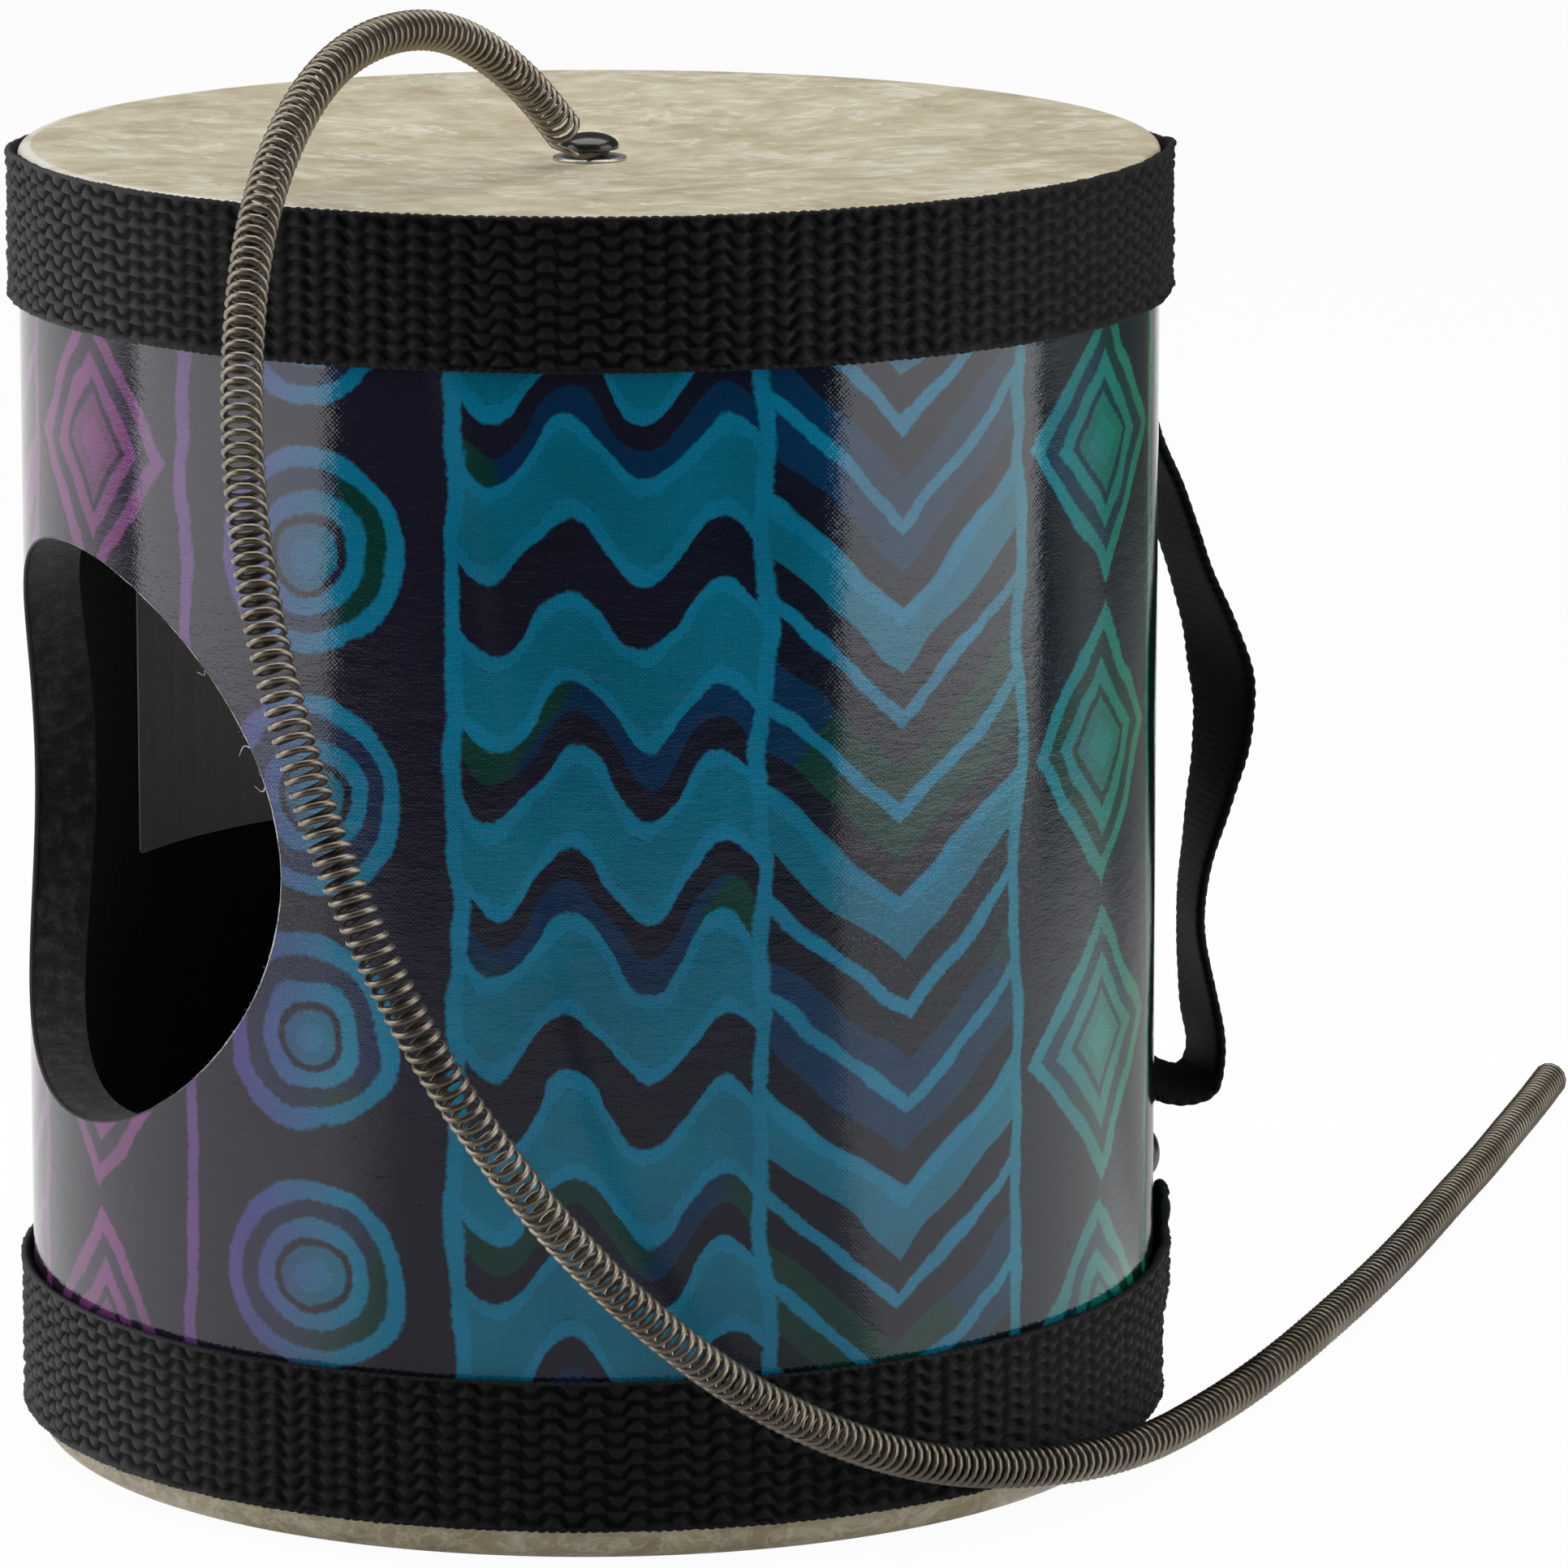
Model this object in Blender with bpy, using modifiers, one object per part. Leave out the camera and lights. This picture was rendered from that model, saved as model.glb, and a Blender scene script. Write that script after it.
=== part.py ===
"""Spring drum: a short fabric-covered tube with a film head at each end, a hand hole in its side,
a webbing hand strap, and a long coil spring that hangs from the middle of the top head.

Lengths are metres and +Z is up. The origin is the middle of the bottom head, on the floor.
Azimuths are degrees from the front (-Y) towards the right-hand side (+X).
"""

import math

import bmesh
import bpy
import numpy as np
from mathutils import Vector
from mathutils.geometry import interpolate_bezier

# Clearances
FIT_GAP = 0.0003  # between faces that touch on the real drum
BORE_CLEARANCE = 0.0003  # round a screw's shank
LAP_GAP = 0.0006  # between a film's skirt and the cover's edge, under a band

# Shell, its cover and the hand hole
SHELL_RADIUS = 0.0882
SHELL_WALL = 0.0080
DRUM_HEIGHT = 0.2050
COVER_THICKNESS = 0.0004
HOLE_AZIMUTH = -64.2
HOLE_RISE = 0.0009  # of the hole's middle over the drum's
HOLE_WIDTH = 0.0955
HOLE_TALL = 0.0900

# Film heads
FILM_THICKNESS = 0.0004
FILM_SKIRT = 0.0140
TOP_EDGE_RADIUS = 0.0015
BOTTOM_EDGE_RADIUS = 0.0055
HEAD_DISH = 0.0035  # how far the spring's clamp draws the top head in
DISH_POWER = 1.3
DISH_RINGS = 3

# Webbing bands
BAND_WIDTH = 0.0227
BAND_THICKNESS = 0.0019
BAND_EDGE = 0.0006
TOP_BAND_DROP = 0.0004
BOTTOM_BAND_RISE = 0.0063

# Paper label on the inside of the shell, opposite the hand hole
LABEL_AZIMUTH = -134.0
LABEL_LEVEL = 0.0850
LABEL_WIDTH = 0.0560
LABEL_TALL = 0.0600
LABEL_CORNER = 0.0010
LABEL_THICKNESS = 0.0003

# Fasteners: round-headed screws, flat washers and hexagon nuts
SHANK_RADIUS = 0.0020
SPRING_SCREW_HEAD_RADIUS = 0.0047
SPRING_SCREW_HEAD_TALL = 0.0024
STRAP_SCREW_HEAD_RADIUS = 0.0044
STRAP_SCREW_HEAD_TALL = 0.0036
HEAD_RIM = 0.0008
WASHER_THICKNESS = 0.0006
OUTER_WASHER_RADIUS = 0.00565
INNER_WASHER_RADIUS = 0.0060
STRAP_WASHER_RADIUS = 0.0050
NUT_FLATS = 0.0070
NUT_THICKNESS = 0.0032
SHANK_PAST_NUT = 0.0015

# Hand strap of flat webbing
STRAP_AZIMUTH = 105.0
STRAP_WIDTH = 0.0190
STRAP_THICKNESS = 0.0017
STRAP_EDGE = 0.0005
STRAP_END_MARGIN = 0.0062
STRAP_WRAP_FADE = 0.0040  # how far out the strap is flat again across its width
UPPER_SCREW_DROP = 0.0370  # under the drum's top
LOWER_SCREW_LEVEL = 0.0371
# The free loop, from the upper tab down: distance out from the tabs, share of the way down
# from the upper screw to the lower one, and twist in degrees.
STRAP_LOOP = (
    (0.0000, 0.045, 0),
    (0.0008, 0.085, 0),
    (0.0044, 0.162, -2),
    (0.0078, 0.245, -5),
    (0.0120, 0.332, -10),
    (0.0146, 0.413, -15),
    (0.0148, 0.465, -12),
    (0.0130, 0.545, -3),
    (0.0107, 0.625, 5),
    (0.0096, 0.700, 7),
    (0.0106, 0.780, 2),
    (0.0118, 0.840, -2),
)
# The fold at its lower end: distance out from the tabs and height over the lower screw.
STRAP_FOLD = (
    (0.0121, 0.0141),
    (0.0107, 0.0115),
    (0.0077, 0.0109),
    (0.0042, 0.0116),
    (0.0016, 0.0118),
    (0.0003, 0.0100),
    (0.0000, 0.0078),
    (0.0000, 0.0060),
)

# Coil spring
SPRING_DIAMETER = 0.00635
WIRE_DIAMETER = 0.00085
CURLS = 80
POINTS_PER_CURL = 8
EYE_TURN = 270
EYE_STEP = 30
LEAD_POINTS = 6
LEAD_HANDLE = 0.0030
SPRING_AZIMUTH = -30.0
# Middle of the coil: from the anchor over the rim, out in a bow, back to the foot and along the floor.
SPRING_ROUTE = (
    (-0.0038, -0.0065, 0.2068),
    (-0.0081, -0.0140, 0.2133),
    (-0.0140, -0.0242, 0.2203),
    (-0.0232, -0.0381, 0.2265),
    (-0.0359, -0.0575, 0.2255),
    (-0.0441, -0.0778, 0.2170),
    (-0.0484, -0.0979, 0.2057),
    (-0.0500, -0.1167, 0.1919),
    (-0.0496, -0.1330, 0.1750),
    (-0.0466, -0.1462, 0.1558),
    (-0.0407, -0.1563, 0.1354),
    (-0.0326, -0.1613, 0.1141),
    (-0.0223, -0.1587, 0.0932),
    (-0.0115, -0.1493, 0.0747),
    (-0.0002, -0.1370, 0.0582),
    (0.0118, -0.1231, 0.0435),
    (0.0248, -0.1084, 0.0306),
    (0.0390, -0.0930, 0.0200),
    (0.0550, -0.0778, 0.0122),
    (0.0722, -0.0623, 0.0083),
    (0.0854, -0.0430, 0.0062),
    (0.0946, -0.0215, 0.0045),
    (0.1032, 0.0002, 0.0034),
    (0.1122, 0.0221, 0.0034),
    (0.1203, 0.0441, 0.0034),
    (0.1281, 0.0662, 0.0034),
    (0.1355, 0.0885, 0.0034),
    (0.1425, 0.1110, 0.0035),
    (0.1492, 0.1335, 0.0035),
    (0.1559, 0.1560, 0.0034),
    (0.1623, 0.1786, 0.0034),
    (0.1687, 0.2012, 0.0034),
    (0.1742, 0.2216, 0.0034),
)

# Facets
ROUND_STEPS = 64
SMALL_STEPS = 20
HOLE_STEPS = 56
LABEL_STEPS = 10
STRAP_STEPS = 4
EDGE_STEPS = 3

# Sizes that follow from the ones above
FILM_RADIUS = SHELL_RADIUS + FIT_GAP + FILM_THICKNESS
COVER_RADIUS = SHELL_RADIUS + FIT_GAP + COVER_THICKNESS
SHELL_BORE = SHELL_RADIUS - SHELL_WALL
BAND_BORE = max(FILM_RADIUS, COVER_RADIUS) + FIT_GAP
BORE_RADIUS = SHANK_RADIUS + BORE_CLEARANCE
HOLE_LEVEL = DRUM_HEIGHT / 2 + HOLE_RISE
UPPER_SCREW_LEVEL = DRUM_HEIGHT - UPPER_SCREW_DROP
TAB_OUT = COVER_RADIUS + FIT_GAP + STRAP_THICKNESS / 2
CLAMP_LEVEL = DRUM_HEIGHT - HEAD_DISH
CLAMP_RADIUS = max(OUTER_WASHER_RADIUS, INNER_WASHER_RADIUS) + FIT_GAP
EYE_LEVEL = CLAMP_LEVEL + FIT_GAP + WASHER_THICKNESS + FIT_GAP + WIRE_DIAMETER / 2
COIL_RADIUS = (SPRING_DIAMETER - WIRE_DIAMETER) / 2
EYE_RADIUS = BORE_RADIUS + WIRE_DIAMETER / 2


def clear_scene():
    for item in list(bpy.data.objects):
        bpy.data.objects.remove(item, do_unlink=True)


def new_collection(name):
    collection = bpy.data.collections.new(name)
    bpy.context.scene.collection.children.link(collection)
    return collection


def new_material(name, colour, roughness, metallic=0.0):
    material = bpy.data.materials.new(name)
    material.use_nodes = True
    shader = material.node_tree.nodes["Principled BSDF"]
    shader.inputs["Base Color"].default_value = (*colour, 1.0)
    shader.inputs["Roughness"].default_value = roughness
    shader.inputs["Metallic"].default_value = metallic
    return material


def polar(azimuth):
    """The angle from +X, in radians, of an azimuth in degrees."""
    return math.radians(azimuth - 90)


def add_part(name, data, material, location=(0, 0, 0), rotation=(0, 0, 0), parent=None):
    part = bpy.data.objects.new(name, data)
    data.materials.append(material)
    PARTS.objects.link(part)
    part.parent = parent or BASE
    part.location = location
    part.rotation_euler = rotation
    return part


def add_cutter(name, mesh, location, rotation):
    cutter = bpy.data.objects.new(name, mesh)
    CUTTERS.objects.link(cutter)
    cutter.location = location
    cutter.rotation_euler = rotation
    cutter.hide_render = True
    cutter.display_type = "WIRE"
    return cutter


def cut(part, cutter):
    boolean = part.modifiers.new(cutter.name, "BOOLEAN")
    boolean.operation = "DIFFERENCE"
    boolean.solver = "EXACT"
    boolean.object = cutter


def arc(centre, radius, start, end, steps=EDGE_STEPS):
    """Points (r, z) of an arc, its angles in degrees from the outward direction."""
    angles = np.radians(np.linspace(start, end, steps + 1))
    return [(centre[0] + radius * math.cos(a), centre[1] + radius * math.sin(a)) for a in angles]


def turned(name, profile, material, steps, closed, location=(0, 0, 0), rotation=(0, 0, 0)):
    """A body turned about its own Z from (r, z) points that run down its outer side."""
    mesh = bpy.data.meshes.new(name)
    edges = [(i, i + 1) for i in range(len(profile) - 1)]
    if closed:
        edges.append((len(profile) - 1, 0))
    mesh.from_pydata([(r, 0, z) for r, z in profile], edges, [])
    part = add_part(name, mesh, material, location, rotation)
    screw = part.modifiers.new("Turn", "SCREW")
    screw.steps = steps
    screw.render_steps = steps
    screw.use_merge_vertices = True
    screw.merge_threshold = 0.00001
    return part


def ellipse_cutter(name, tall, wide, length, steps, location, rotation):
    mesh = bpy.data.meshes.new(name)
    form = bmesh.new()
    bmesh.ops.create_cone(
        form, cap_ends=True, segments=steps, radius1=0.5, radius2=0.5, depth=length
    )
    bmesh.ops.scale(form, vec=(tall, wide, 1), verts=form.verts)
    form.to_mesh(mesh)
    form.free()
    return add_cutter(name, mesh, location, rotation)


def facing_out(azimuth):
    """The rotation that turns a body's own Z outward along an azimuth."""
    return (0, math.pi / 2, polar(azimuth))


def out_along(azimuth, distance, level):
    return (distance * math.cos(polar(azimuth)), distance * math.sin(polar(azimuth)), level)


def smooth_curve(points, count):
    """Points at even distances along a natural cubic spline through the given points."""
    knots = np.array(points)
    along = np.concatenate([[0], np.cumsum(np.linalg.norm(np.diff(knots, axis=0), axis=1))])
    step = np.diff(along)
    system = np.eye(len(knots))
    right = np.zeros_like(knots)
    for i in range(1, len(knots) - 1):
        system[i, i - 1 : i + 2] = step[i - 1], 2 * (step[i - 1] + step[i]), step[i]
        ahead = (knots[i + 1] - knots[i]) / step[i]
        behind = (knots[i] - knots[i - 1]) / step[i - 1]
        right[i] = 6 * (ahead - behind)
    bend = np.linalg.solve(system, right)
    fine = np.linspace(0, along[-1], 20 * count)
    i = np.clip(np.searchsorted(along, fine) - 1, 0, len(step) - 1)
    h = step[i][:, None]
    a = (along[i + 1] - fine)[:, None]
    b = (fine - along[i])[:, None]
    curve = (bend[i] * a**3 + bend[i + 1] * b**3) / (6 * h)
    curve += (knots[i] / h - bend[i] * h / 6) * a
    curve += (knots[i + 1] / h - bend[i + 1] * h / 6) * b
    lengths = np.concatenate([[0], np.cumsum(np.linalg.norm(np.diff(curve, axis=0), axis=1))])
    even = np.linspace(0, lengths[-1], count)
    return np.stack([np.interp(even, lengths, curve[:, axis]) for axis in range(3)], axis=1)


def make_shell(material):
    top_centre = (FILM_RADIUS - TOP_EDGE_RADIUS, DRUM_HEIGHT - TOP_EDGE_RADIUS)
    bottom_centre = (FILM_RADIUS - BOTTOM_EDGE_RADIUS, BOTTOM_EDGE_RADIUS)
    layer = FILM_THICKNESS + FIT_GAP
    profile = arc(top_centre, TOP_EDGE_RADIUS - layer, 90, 0)
    profile += arc(bottom_centre, BOTTOM_EDGE_RADIUS - layer, 0, -90)
    profile += [(SHELL_BORE, layer), (SHELL_BORE, DRUM_HEIGHT - layer)]
    return turned("shell", profile, material, ROUND_STEPS, closed=True)


def make_cover(material):
    top = DRUM_HEIGHT - FILM_SKIRT - LAP_GAP
    bottom = FILM_SKIRT + LAP_GAP
    bore = SHELL_RADIUS + FIT_GAP
    profile = [(COVER_RADIUS, top), (COVER_RADIUS, bottom), (bore, bottom), (bore, top)]
    return turned("shell_cover", profile, material, ROUND_STEPS, closed=True)


def dished(radius):
    """Height of the top head's upper face at a radius inside the shell."""
    share = (radius - CLAMP_RADIUS) / (SHELL_BORE - CLAMP_RADIUS)
    return DRUM_HEIGHT - HEAD_DISH * (1 - share) ** DISH_POWER


def make_top_head(material):
    centre = (FILM_RADIUS - TOP_EDGE_RADIUS, DRUM_HEIGHT - TOP_EDGE_RADIUS)
    skirt = DRUM_HEIGHT - FILM_SKIRT
    rings = np.linspace(CLAMP_RADIUS, SHELL_BORE, DISH_RINGS + 1)
    upper = [(BORE_RADIUS, CLAMP_LEVEL)] + [(float(r), dished(float(r))) for r in rings]
    lower = [(r, z - FILM_THICKNESS) for r, z in reversed(upper)]
    profile = upper + arc(centre, TOP_EDGE_RADIUS, 90, 0) + [(FILM_RADIUS, skirt)]
    profile += [(FILM_RADIUS - FILM_THICKNESS, skirt)]
    profile += arc(centre, TOP_EDGE_RADIUS - FILM_THICKNESS, 0, 90) + lower
    return turned("top_head", profile, material, ROUND_STEPS, closed=True)


def make_bottom_head(material):
    centre = (FILM_RADIUS - BOTTOM_EDGE_RADIUS, BOTTOM_EDGE_RADIUS)
    profile = [(0, FILM_THICKNESS)]
    profile += arc(centre, BOTTOM_EDGE_RADIUS - FILM_THICKNESS, -90, 0)
    profile += [(FILM_RADIUS - FILM_THICKNESS, FILM_SKIRT), (FILM_RADIUS, FILM_SKIRT)]
    profile += arc(centre, BOTTOM_EDGE_RADIUS, 0, -90) + [(0, 0)]
    return turned("bottom_head", profile, material, ROUND_STEPS, closed=False)


def make_band(name, bottom, material):
    top = bottom + BAND_WIDTH
    outer = BAND_BORE + BAND_THICKNESS
    shoulder = outer - BAND_EDGE
    profile = [(BAND_BORE, top), (shoulder, top), (outer, top - BAND_EDGE)]
    profile += [(outer, bottom + BAND_EDGE), (shoulder, bottom), (BAND_BORE, bottom)]
    return turned(name, profile, material, ROUND_STEPS, closed=True)


def make_label(material):
    """A sheet bent to the inside of the shell, with rounded corners."""
    mesh = bpy.data.meshes.new("inner_label")
    form = bmesh.new()
    bmesh.ops.create_grid(form, x_segments=LABEL_STEPS, y_segments=1, size=0.5)
    bmesh.ops.scale(form, vec=(LABEL_WIDTH, LABEL_TALL, 1), verts=form.verts)
    corners = [v for v in form.verts if len(v.link_edges) == 2]
    bmesh.ops.bevel(
        form, geom=corners, offset=LABEL_CORNER, segments=EDGE_STEPS, profile=0.5, affect="VERTICES"
    )
    seat = SHELL_BORE * math.cos(math.pi / ROUND_STEPS) - FIT_GAP
    for vertex in form.verts:
        angle = vertex.co.x / seat
        level = vertex.co.y + LABEL_TALL / 2
        vertex.co = (seat * math.cos(angle), seat * math.sin(angle), level)
    bmesh.ops.recalc_face_normals(form, faces=form.faces)
    form.to_mesh(mesh)
    form.free()
    place = (0, 0, LABEL_LEVEL)
    label = add_part("inner_label", mesh, material, place, (0, 0, polar(LABEL_AZIMUTH)))
    sheet = label.modifiers.new("Paper", "SOLIDIFY")
    sheet.thickness = LABEL_THICKNESS
    sheet.offset = -1 if mesh.polygons[0].normal.x > 0 else 1
    return label


def make_screw(name, head_radius, head_tall, under_head, reach, material, location, rotation=(0, 0, 0)):
    """A round-headed screw along its own Z, its head's underside at under_head, its tip at reach."""
    crown = head_tall - HEAD_RIM
    dome = (head_radius**2 + crown**2) / (2 * crown)
    spread = math.degrees(math.asin(head_radius / dome))
    middle = (0, under_head + head_tall - dome)
    profile = arc(middle, dome, 90, 90 - spread, 2 * EDGE_STEPS)
    profile[0] = (0, under_head + head_tall)
    profile += [(head_radius, under_head), (SHANK_RADIUS, under_head)]
    profile += [(SHANK_RADIUS, reach), (0, reach)]
    return turned(name, profile, material, SMALL_STEPS, False, location, rotation)


def make_washer(name, radius, material, location, rotation=(0, 0, 0)):
    """A flat washer whose lower face is at its origin."""
    top = WASHER_THICKNESS
    profile = [(radius, top), (radius, 0), (BORE_RADIUS, 0), (BORE_RADIUS, top)]
    return turned(name, profile, material, SMALL_STEPS, True, location, rotation)


def ring_of_points(count, radius):
    angles = [2 * math.pi * i / count for i in range(count)]
    return [(radius * math.cos(a), radius * math.sin(a), 0) for a in angles]


def add_outline(curve, points):
    spline = curve.splines.new("POLY")
    spline.points.add(len(points) - 1)
    for point, place in zip(spline.points, points):
        point.co = (*place, 1)
    spline.use_cyclic_u = True


def make_nut(name, material, location, rotation=(0, 0, 0)):
    """A hexagon nut centred on its origin."""
    curve = bpy.data.curves.new(name, "CURVE")
    curve.dimensions = "2D"
    curve.fill_mode = "BOTH"
    curve.extrude = NUT_THICKNESS / 2
    add_outline(curve, ring_of_points(6, NUT_FLATS / 2 / math.cos(math.pi / 6)))
    add_outline(curve, ring_of_points(SMALL_STEPS, BORE_RADIUS))
    return add_part(name, curve, material, location, rotation)


def make_spring_anchor(black, zinc):
    """The screw that holds the spring's eye on the top head, with its washers and nut."""
    washer_level = CLAMP_LEVEL + FIT_GAP
    under_head = EYE_LEVEL + WIRE_DIAMETER / 2 + FIT_GAP
    inner_level = CLAMP_LEVEL - FILM_THICKNESS - FIT_GAP - WASHER_THICKNESS
    nut_level = inner_level - FIT_GAP - NUT_THICKNESS / 2
    reach = nut_level - NUT_THICKNESS / 2 - SHANK_PAST_NUT
    head = (SPRING_SCREW_HEAD_RADIUS, SPRING_SCREW_HEAD_TALL)
    make_screw("spring_screw", *head, under_head, reach, black, (0, 0, 0))
    make_washer("spring_washer", OUTER_WASHER_RADIUS, zinc, (0, 0, washer_level))
    make_washer("spring_inner_washer", INNER_WASHER_RADIUS, zinc, (0, 0, inner_level))
    make_nut("spring_nut", zinc, (0, 0, nut_level))


def make_strap_fastening(name, level, black, zinc):
    """A screw through the strap and the shell, with a washer and a nut inside."""
    turn = facing_out(STRAP_AZIMUTH)
    under_head = TAB_OUT + STRAP_THICKNESS / 2 + FIT_GAP
    flat = SHELL_BORE * math.cos(math.pi / ROUND_STEPS)
    washer_out = math.sqrt(flat**2 - STRAP_WASHER_RADIUS**2) - FIT_GAP - WASHER_THICKNESS
    nut_out = washer_out - FIT_GAP - NUT_THICKNESS / 2
    reach = nut_out - NUT_THICKNESS / 2 - SHANK_PAST_NUT
    head = (STRAP_SCREW_HEAD_RADIUS, STRAP_SCREW_HEAD_TALL)
    make_screw(f"{name}_strap_screw", *head, under_head, reach, black, (0, 0, level), turn)
    washer_place = out_along(STRAP_AZIMUTH, washer_out, level)
    make_washer(f"{name}_strap_washer", STRAP_WASHER_RADIUS, zinc, washer_place, turn)
    make_nut(f"{name}_strap_nut", zinc, out_along(STRAP_AZIMUTH, nut_out, level), turn)


def strap_points():
    """The strap's middle from its upper end to its lower end: (out, up, twist)."""
    drop = UPPER_SCREW_LEVEL - LOWER_SCREW_LEVEL
    points = [(TAB_OUT, UPPER_SCREW_LEVEL + STRAP_END_MARGIN, 0), (TAB_OUT, UPPER_SCREW_LEVEL, 0)]
    for out, share, twist in STRAP_LOOP:
        points.append((TAB_OUT + out, UPPER_SCREW_LEVEL - share * drop, twist))
    for out, over in STRAP_FOLD:
        points.append((TAB_OUT + out, LOWER_SCREW_LEVEL + over, 0))
    points += [(TAB_OUT, LOWER_SCREW_LEVEL, 0), (TAB_OUT, LOWER_SCREW_LEVEL - STRAP_END_MARGIN, 0)]
    return points


def webbing_section():
    """A guide with the outline of the strap's cross-section, its long edges eased."""
    half_thick = STRAP_THICKNESS / 2
    half_wide = STRAP_WIDTH / 2
    side = half_thick - STRAP_EDGE
    end = half_wide - STRAP_EDGE
    face = [(half_thick, float(y)) for y in np.linspace(-end, end, STRAP_STEPS + 1)]
    half = face + [(side, half_wide), (-side, half_wide)]
    outline = half + [(-x, -y) for x, y in half]
    guide = bpy.data.curves.new("strap_section", "CURVE")
    guide.dimensions = "2D"
    add_outline(guide, [(x, y, 0) for x, y in outline])
    return add_cutter("strap_section", guide, (0, 0, 0), (0, 0, 0))


def mesh_of(curve_object):
    """The curve's tube as a closed mesh, its caps welded on."""
    bpy.context.view_layer.update()
    graph = bpy.context.evaluated_depsgraph_get()
    mesh = bpy.data.meshes.new_from_object(curve_object.evaluated_get(graph))
    form = bmesh.new()
    form.from_mesh(mesh)
    bmesh.ops.remove_doubles(form, verts=form.verts, dist=0.00001)
    bmesh.ops.recalc_face_normals(form, faces=form.faces)
    form.to_mesh(mesh)
    form.free()
    return mesh


def wrap_tabs(mesh):
    """Bends the strap's ends round the cover that they lie on. In the mesh X is out, Y up and Z across."""
    for vertex in mesh.vertices:
        out, across = vertex.co.x, vertex.co.z
        free = (out - TAB_OUT - STRAP_THICKNESS / 2) / STRAP_WRAP_FADE
        share = 1 - min(max(free, 0), 1)
        vertex.co.x += share * out * (math.cos(across / out) - 1)
        vertex.co.z += share * (out * math.sin(across / out) - across)


def make_strap(material):
    """The hand strap, swept in a plane through the drum's axis and twisted about its own middle."""
    curve = bpy.data.curves.new("strap_path", "CURVE")
    curve.dimensions = "3D"
    curve.twist_mode = "Z_UP"
    curve.bevel_mode = "OBJECT"
    curve.bevel_object = webbing_section()
    curve.use_fill_caps = True
    curve.resolution_u = 2
    spline = curve.splines.new("BEZIER")
    points = strap_points()
    spline.bezier_points.add(len(points) - 1)
    for knot, (out, up, twist) in zip(spline.bezier_points, points):
        knot.co = (out, up, 0)
        knot.handle_left_type = "AUTO"
        knot.handle_right_type = "AUTO"
        knot.tilt = math.radians(twist)
    path = add_cutter("strap_path", curve, (0, 0, 0), (0, 0, 0))
    mesh = mesh_of(path)
    wrap_tabs(mesh)
    bpy.data.objects.remove(path)
    turn = (math.pi / 2, 0, polar(STRAP_AZIMUTH))
    return add_part("hand_strap", mesh, material, (0, 0, 0), turn)


def spring_frames(count):
    """The coil's middle at even steps, with two directions across it that don't twist."""
    middle = smooth_curve(SPRING_ROUTE, count)
    tangent = np.gradient(middle, axis=0)
    tangent /= np.linalg.norm(tangent, axis=1)[:, None]
    across = np.empty_like(middle)
    side = np.cross((0, 0, 1), tangent[0])
    for i, direction in enumerate(tangent):
        side = side - direction * side.dot(direction)
        side /= np.linalg.norm(side)
        across[i] = side
    return middle, across, np.cross(tangent, across)


def coil_points():
    """The coil's wire: a left-handed helix about its middle, from the underside of its first curl."""
    count = CURLS * POINTS_PER_CURL + 1
    middle, across, over = spring_frames(count)
    angle = -2 * math.pi * np.arange(count) / POINTS_PER_CURL - math.pi / 2
    return middle + COIL_RADIUS * (np.cos(angle)[:, None] * across + np.sin(angle)[:, None] * over)


def eye_points():
    """The eye round the screw, and the wire's straight way out from under the screw's head."""
    leave = polar(SPRING_AZIMUTH) + math.pi / 2
    turn = np.radians(np.arange(EYE_TURN, -1, -EYE_STEP)) + leave
    eye = [Vector((EYE_RADIUS * math.cos(a), EYE_RADIUS * math.sin(a), EYE_LEVEL)) for a in turn]
    first = Vector((math.sin(turn[0]), -math.cos(turn[0]), 0))
    heading = Vector((math.sin(leave), -math.cos(leave), 0))
    clear = eye[-1] + heading * SPRING_SCREW_HEAD_RADIUS
    return [eye[0] - first * WIRE_DIAMETER] + eye + [clear], heading


def wire_points():
    """The whole wire, from its end in the eye to its free end."""
    coil = [Vector(point) for point in coil_points()]
    eye, heading = eye_points()
    into = (coil[1] - coil[0]).normalized()
    handles = (eye[-1] + heading * LEAD_HANDLE, coil[0] - into * LEAD_HANDLE)
    lead = interpolate_bezier(eye[-1], *handles, coil[0], LEAD_POINTS)
    out = (coil[-1] - coil[-2]).normalized()
    return eye + lead[1:-1] + coil + [coil[-1] + out * WIRE_DIAMETER]


def least_gap(points):
    """The least gap between stretches of the wire that are half a curl or more apart."""
    places = np.array([tuple(p) for p in points])
    apart = POINTS_PER_CURL // 2
    least = math.inf
    for i in range(len(places) - apart):
        least = min(least, np.linalg.norm(places[i + apart :] - places[i], axis=1).min())
    return least - WIRE_DIAMETER


def make_spring(material):
    """The coil spring with its eye, turning on an empty on the screw's axis."""
    pivot = bpy.data.objects.new("spring_pivot", None)
    PARTS.objects.link(pivot)
    pivot.location = (0, 0, EYE_LEVEL)
    points = wire_points()
    print(f"least gap of the spring's wire to itself: {1000 * least_gap(points):.2f} mm")
    curve = bpy.data.curves.new("spring", "CURVE")
    curve.dimensions = "3D"
    curve.bevel_depth = WIRE_DIAMETER / 2
    curve.bevel_resolution = 1
    curve.use_fill_caps = True
    spline = curve.splines.new("POLY")
    spline.points.add(len(points) - 1)
    for point, place in zip(spline.points, points):
        point.co = (*(place - pivot.location), 1)
    return add_part("spring", curve, material, parent=pivot)


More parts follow.
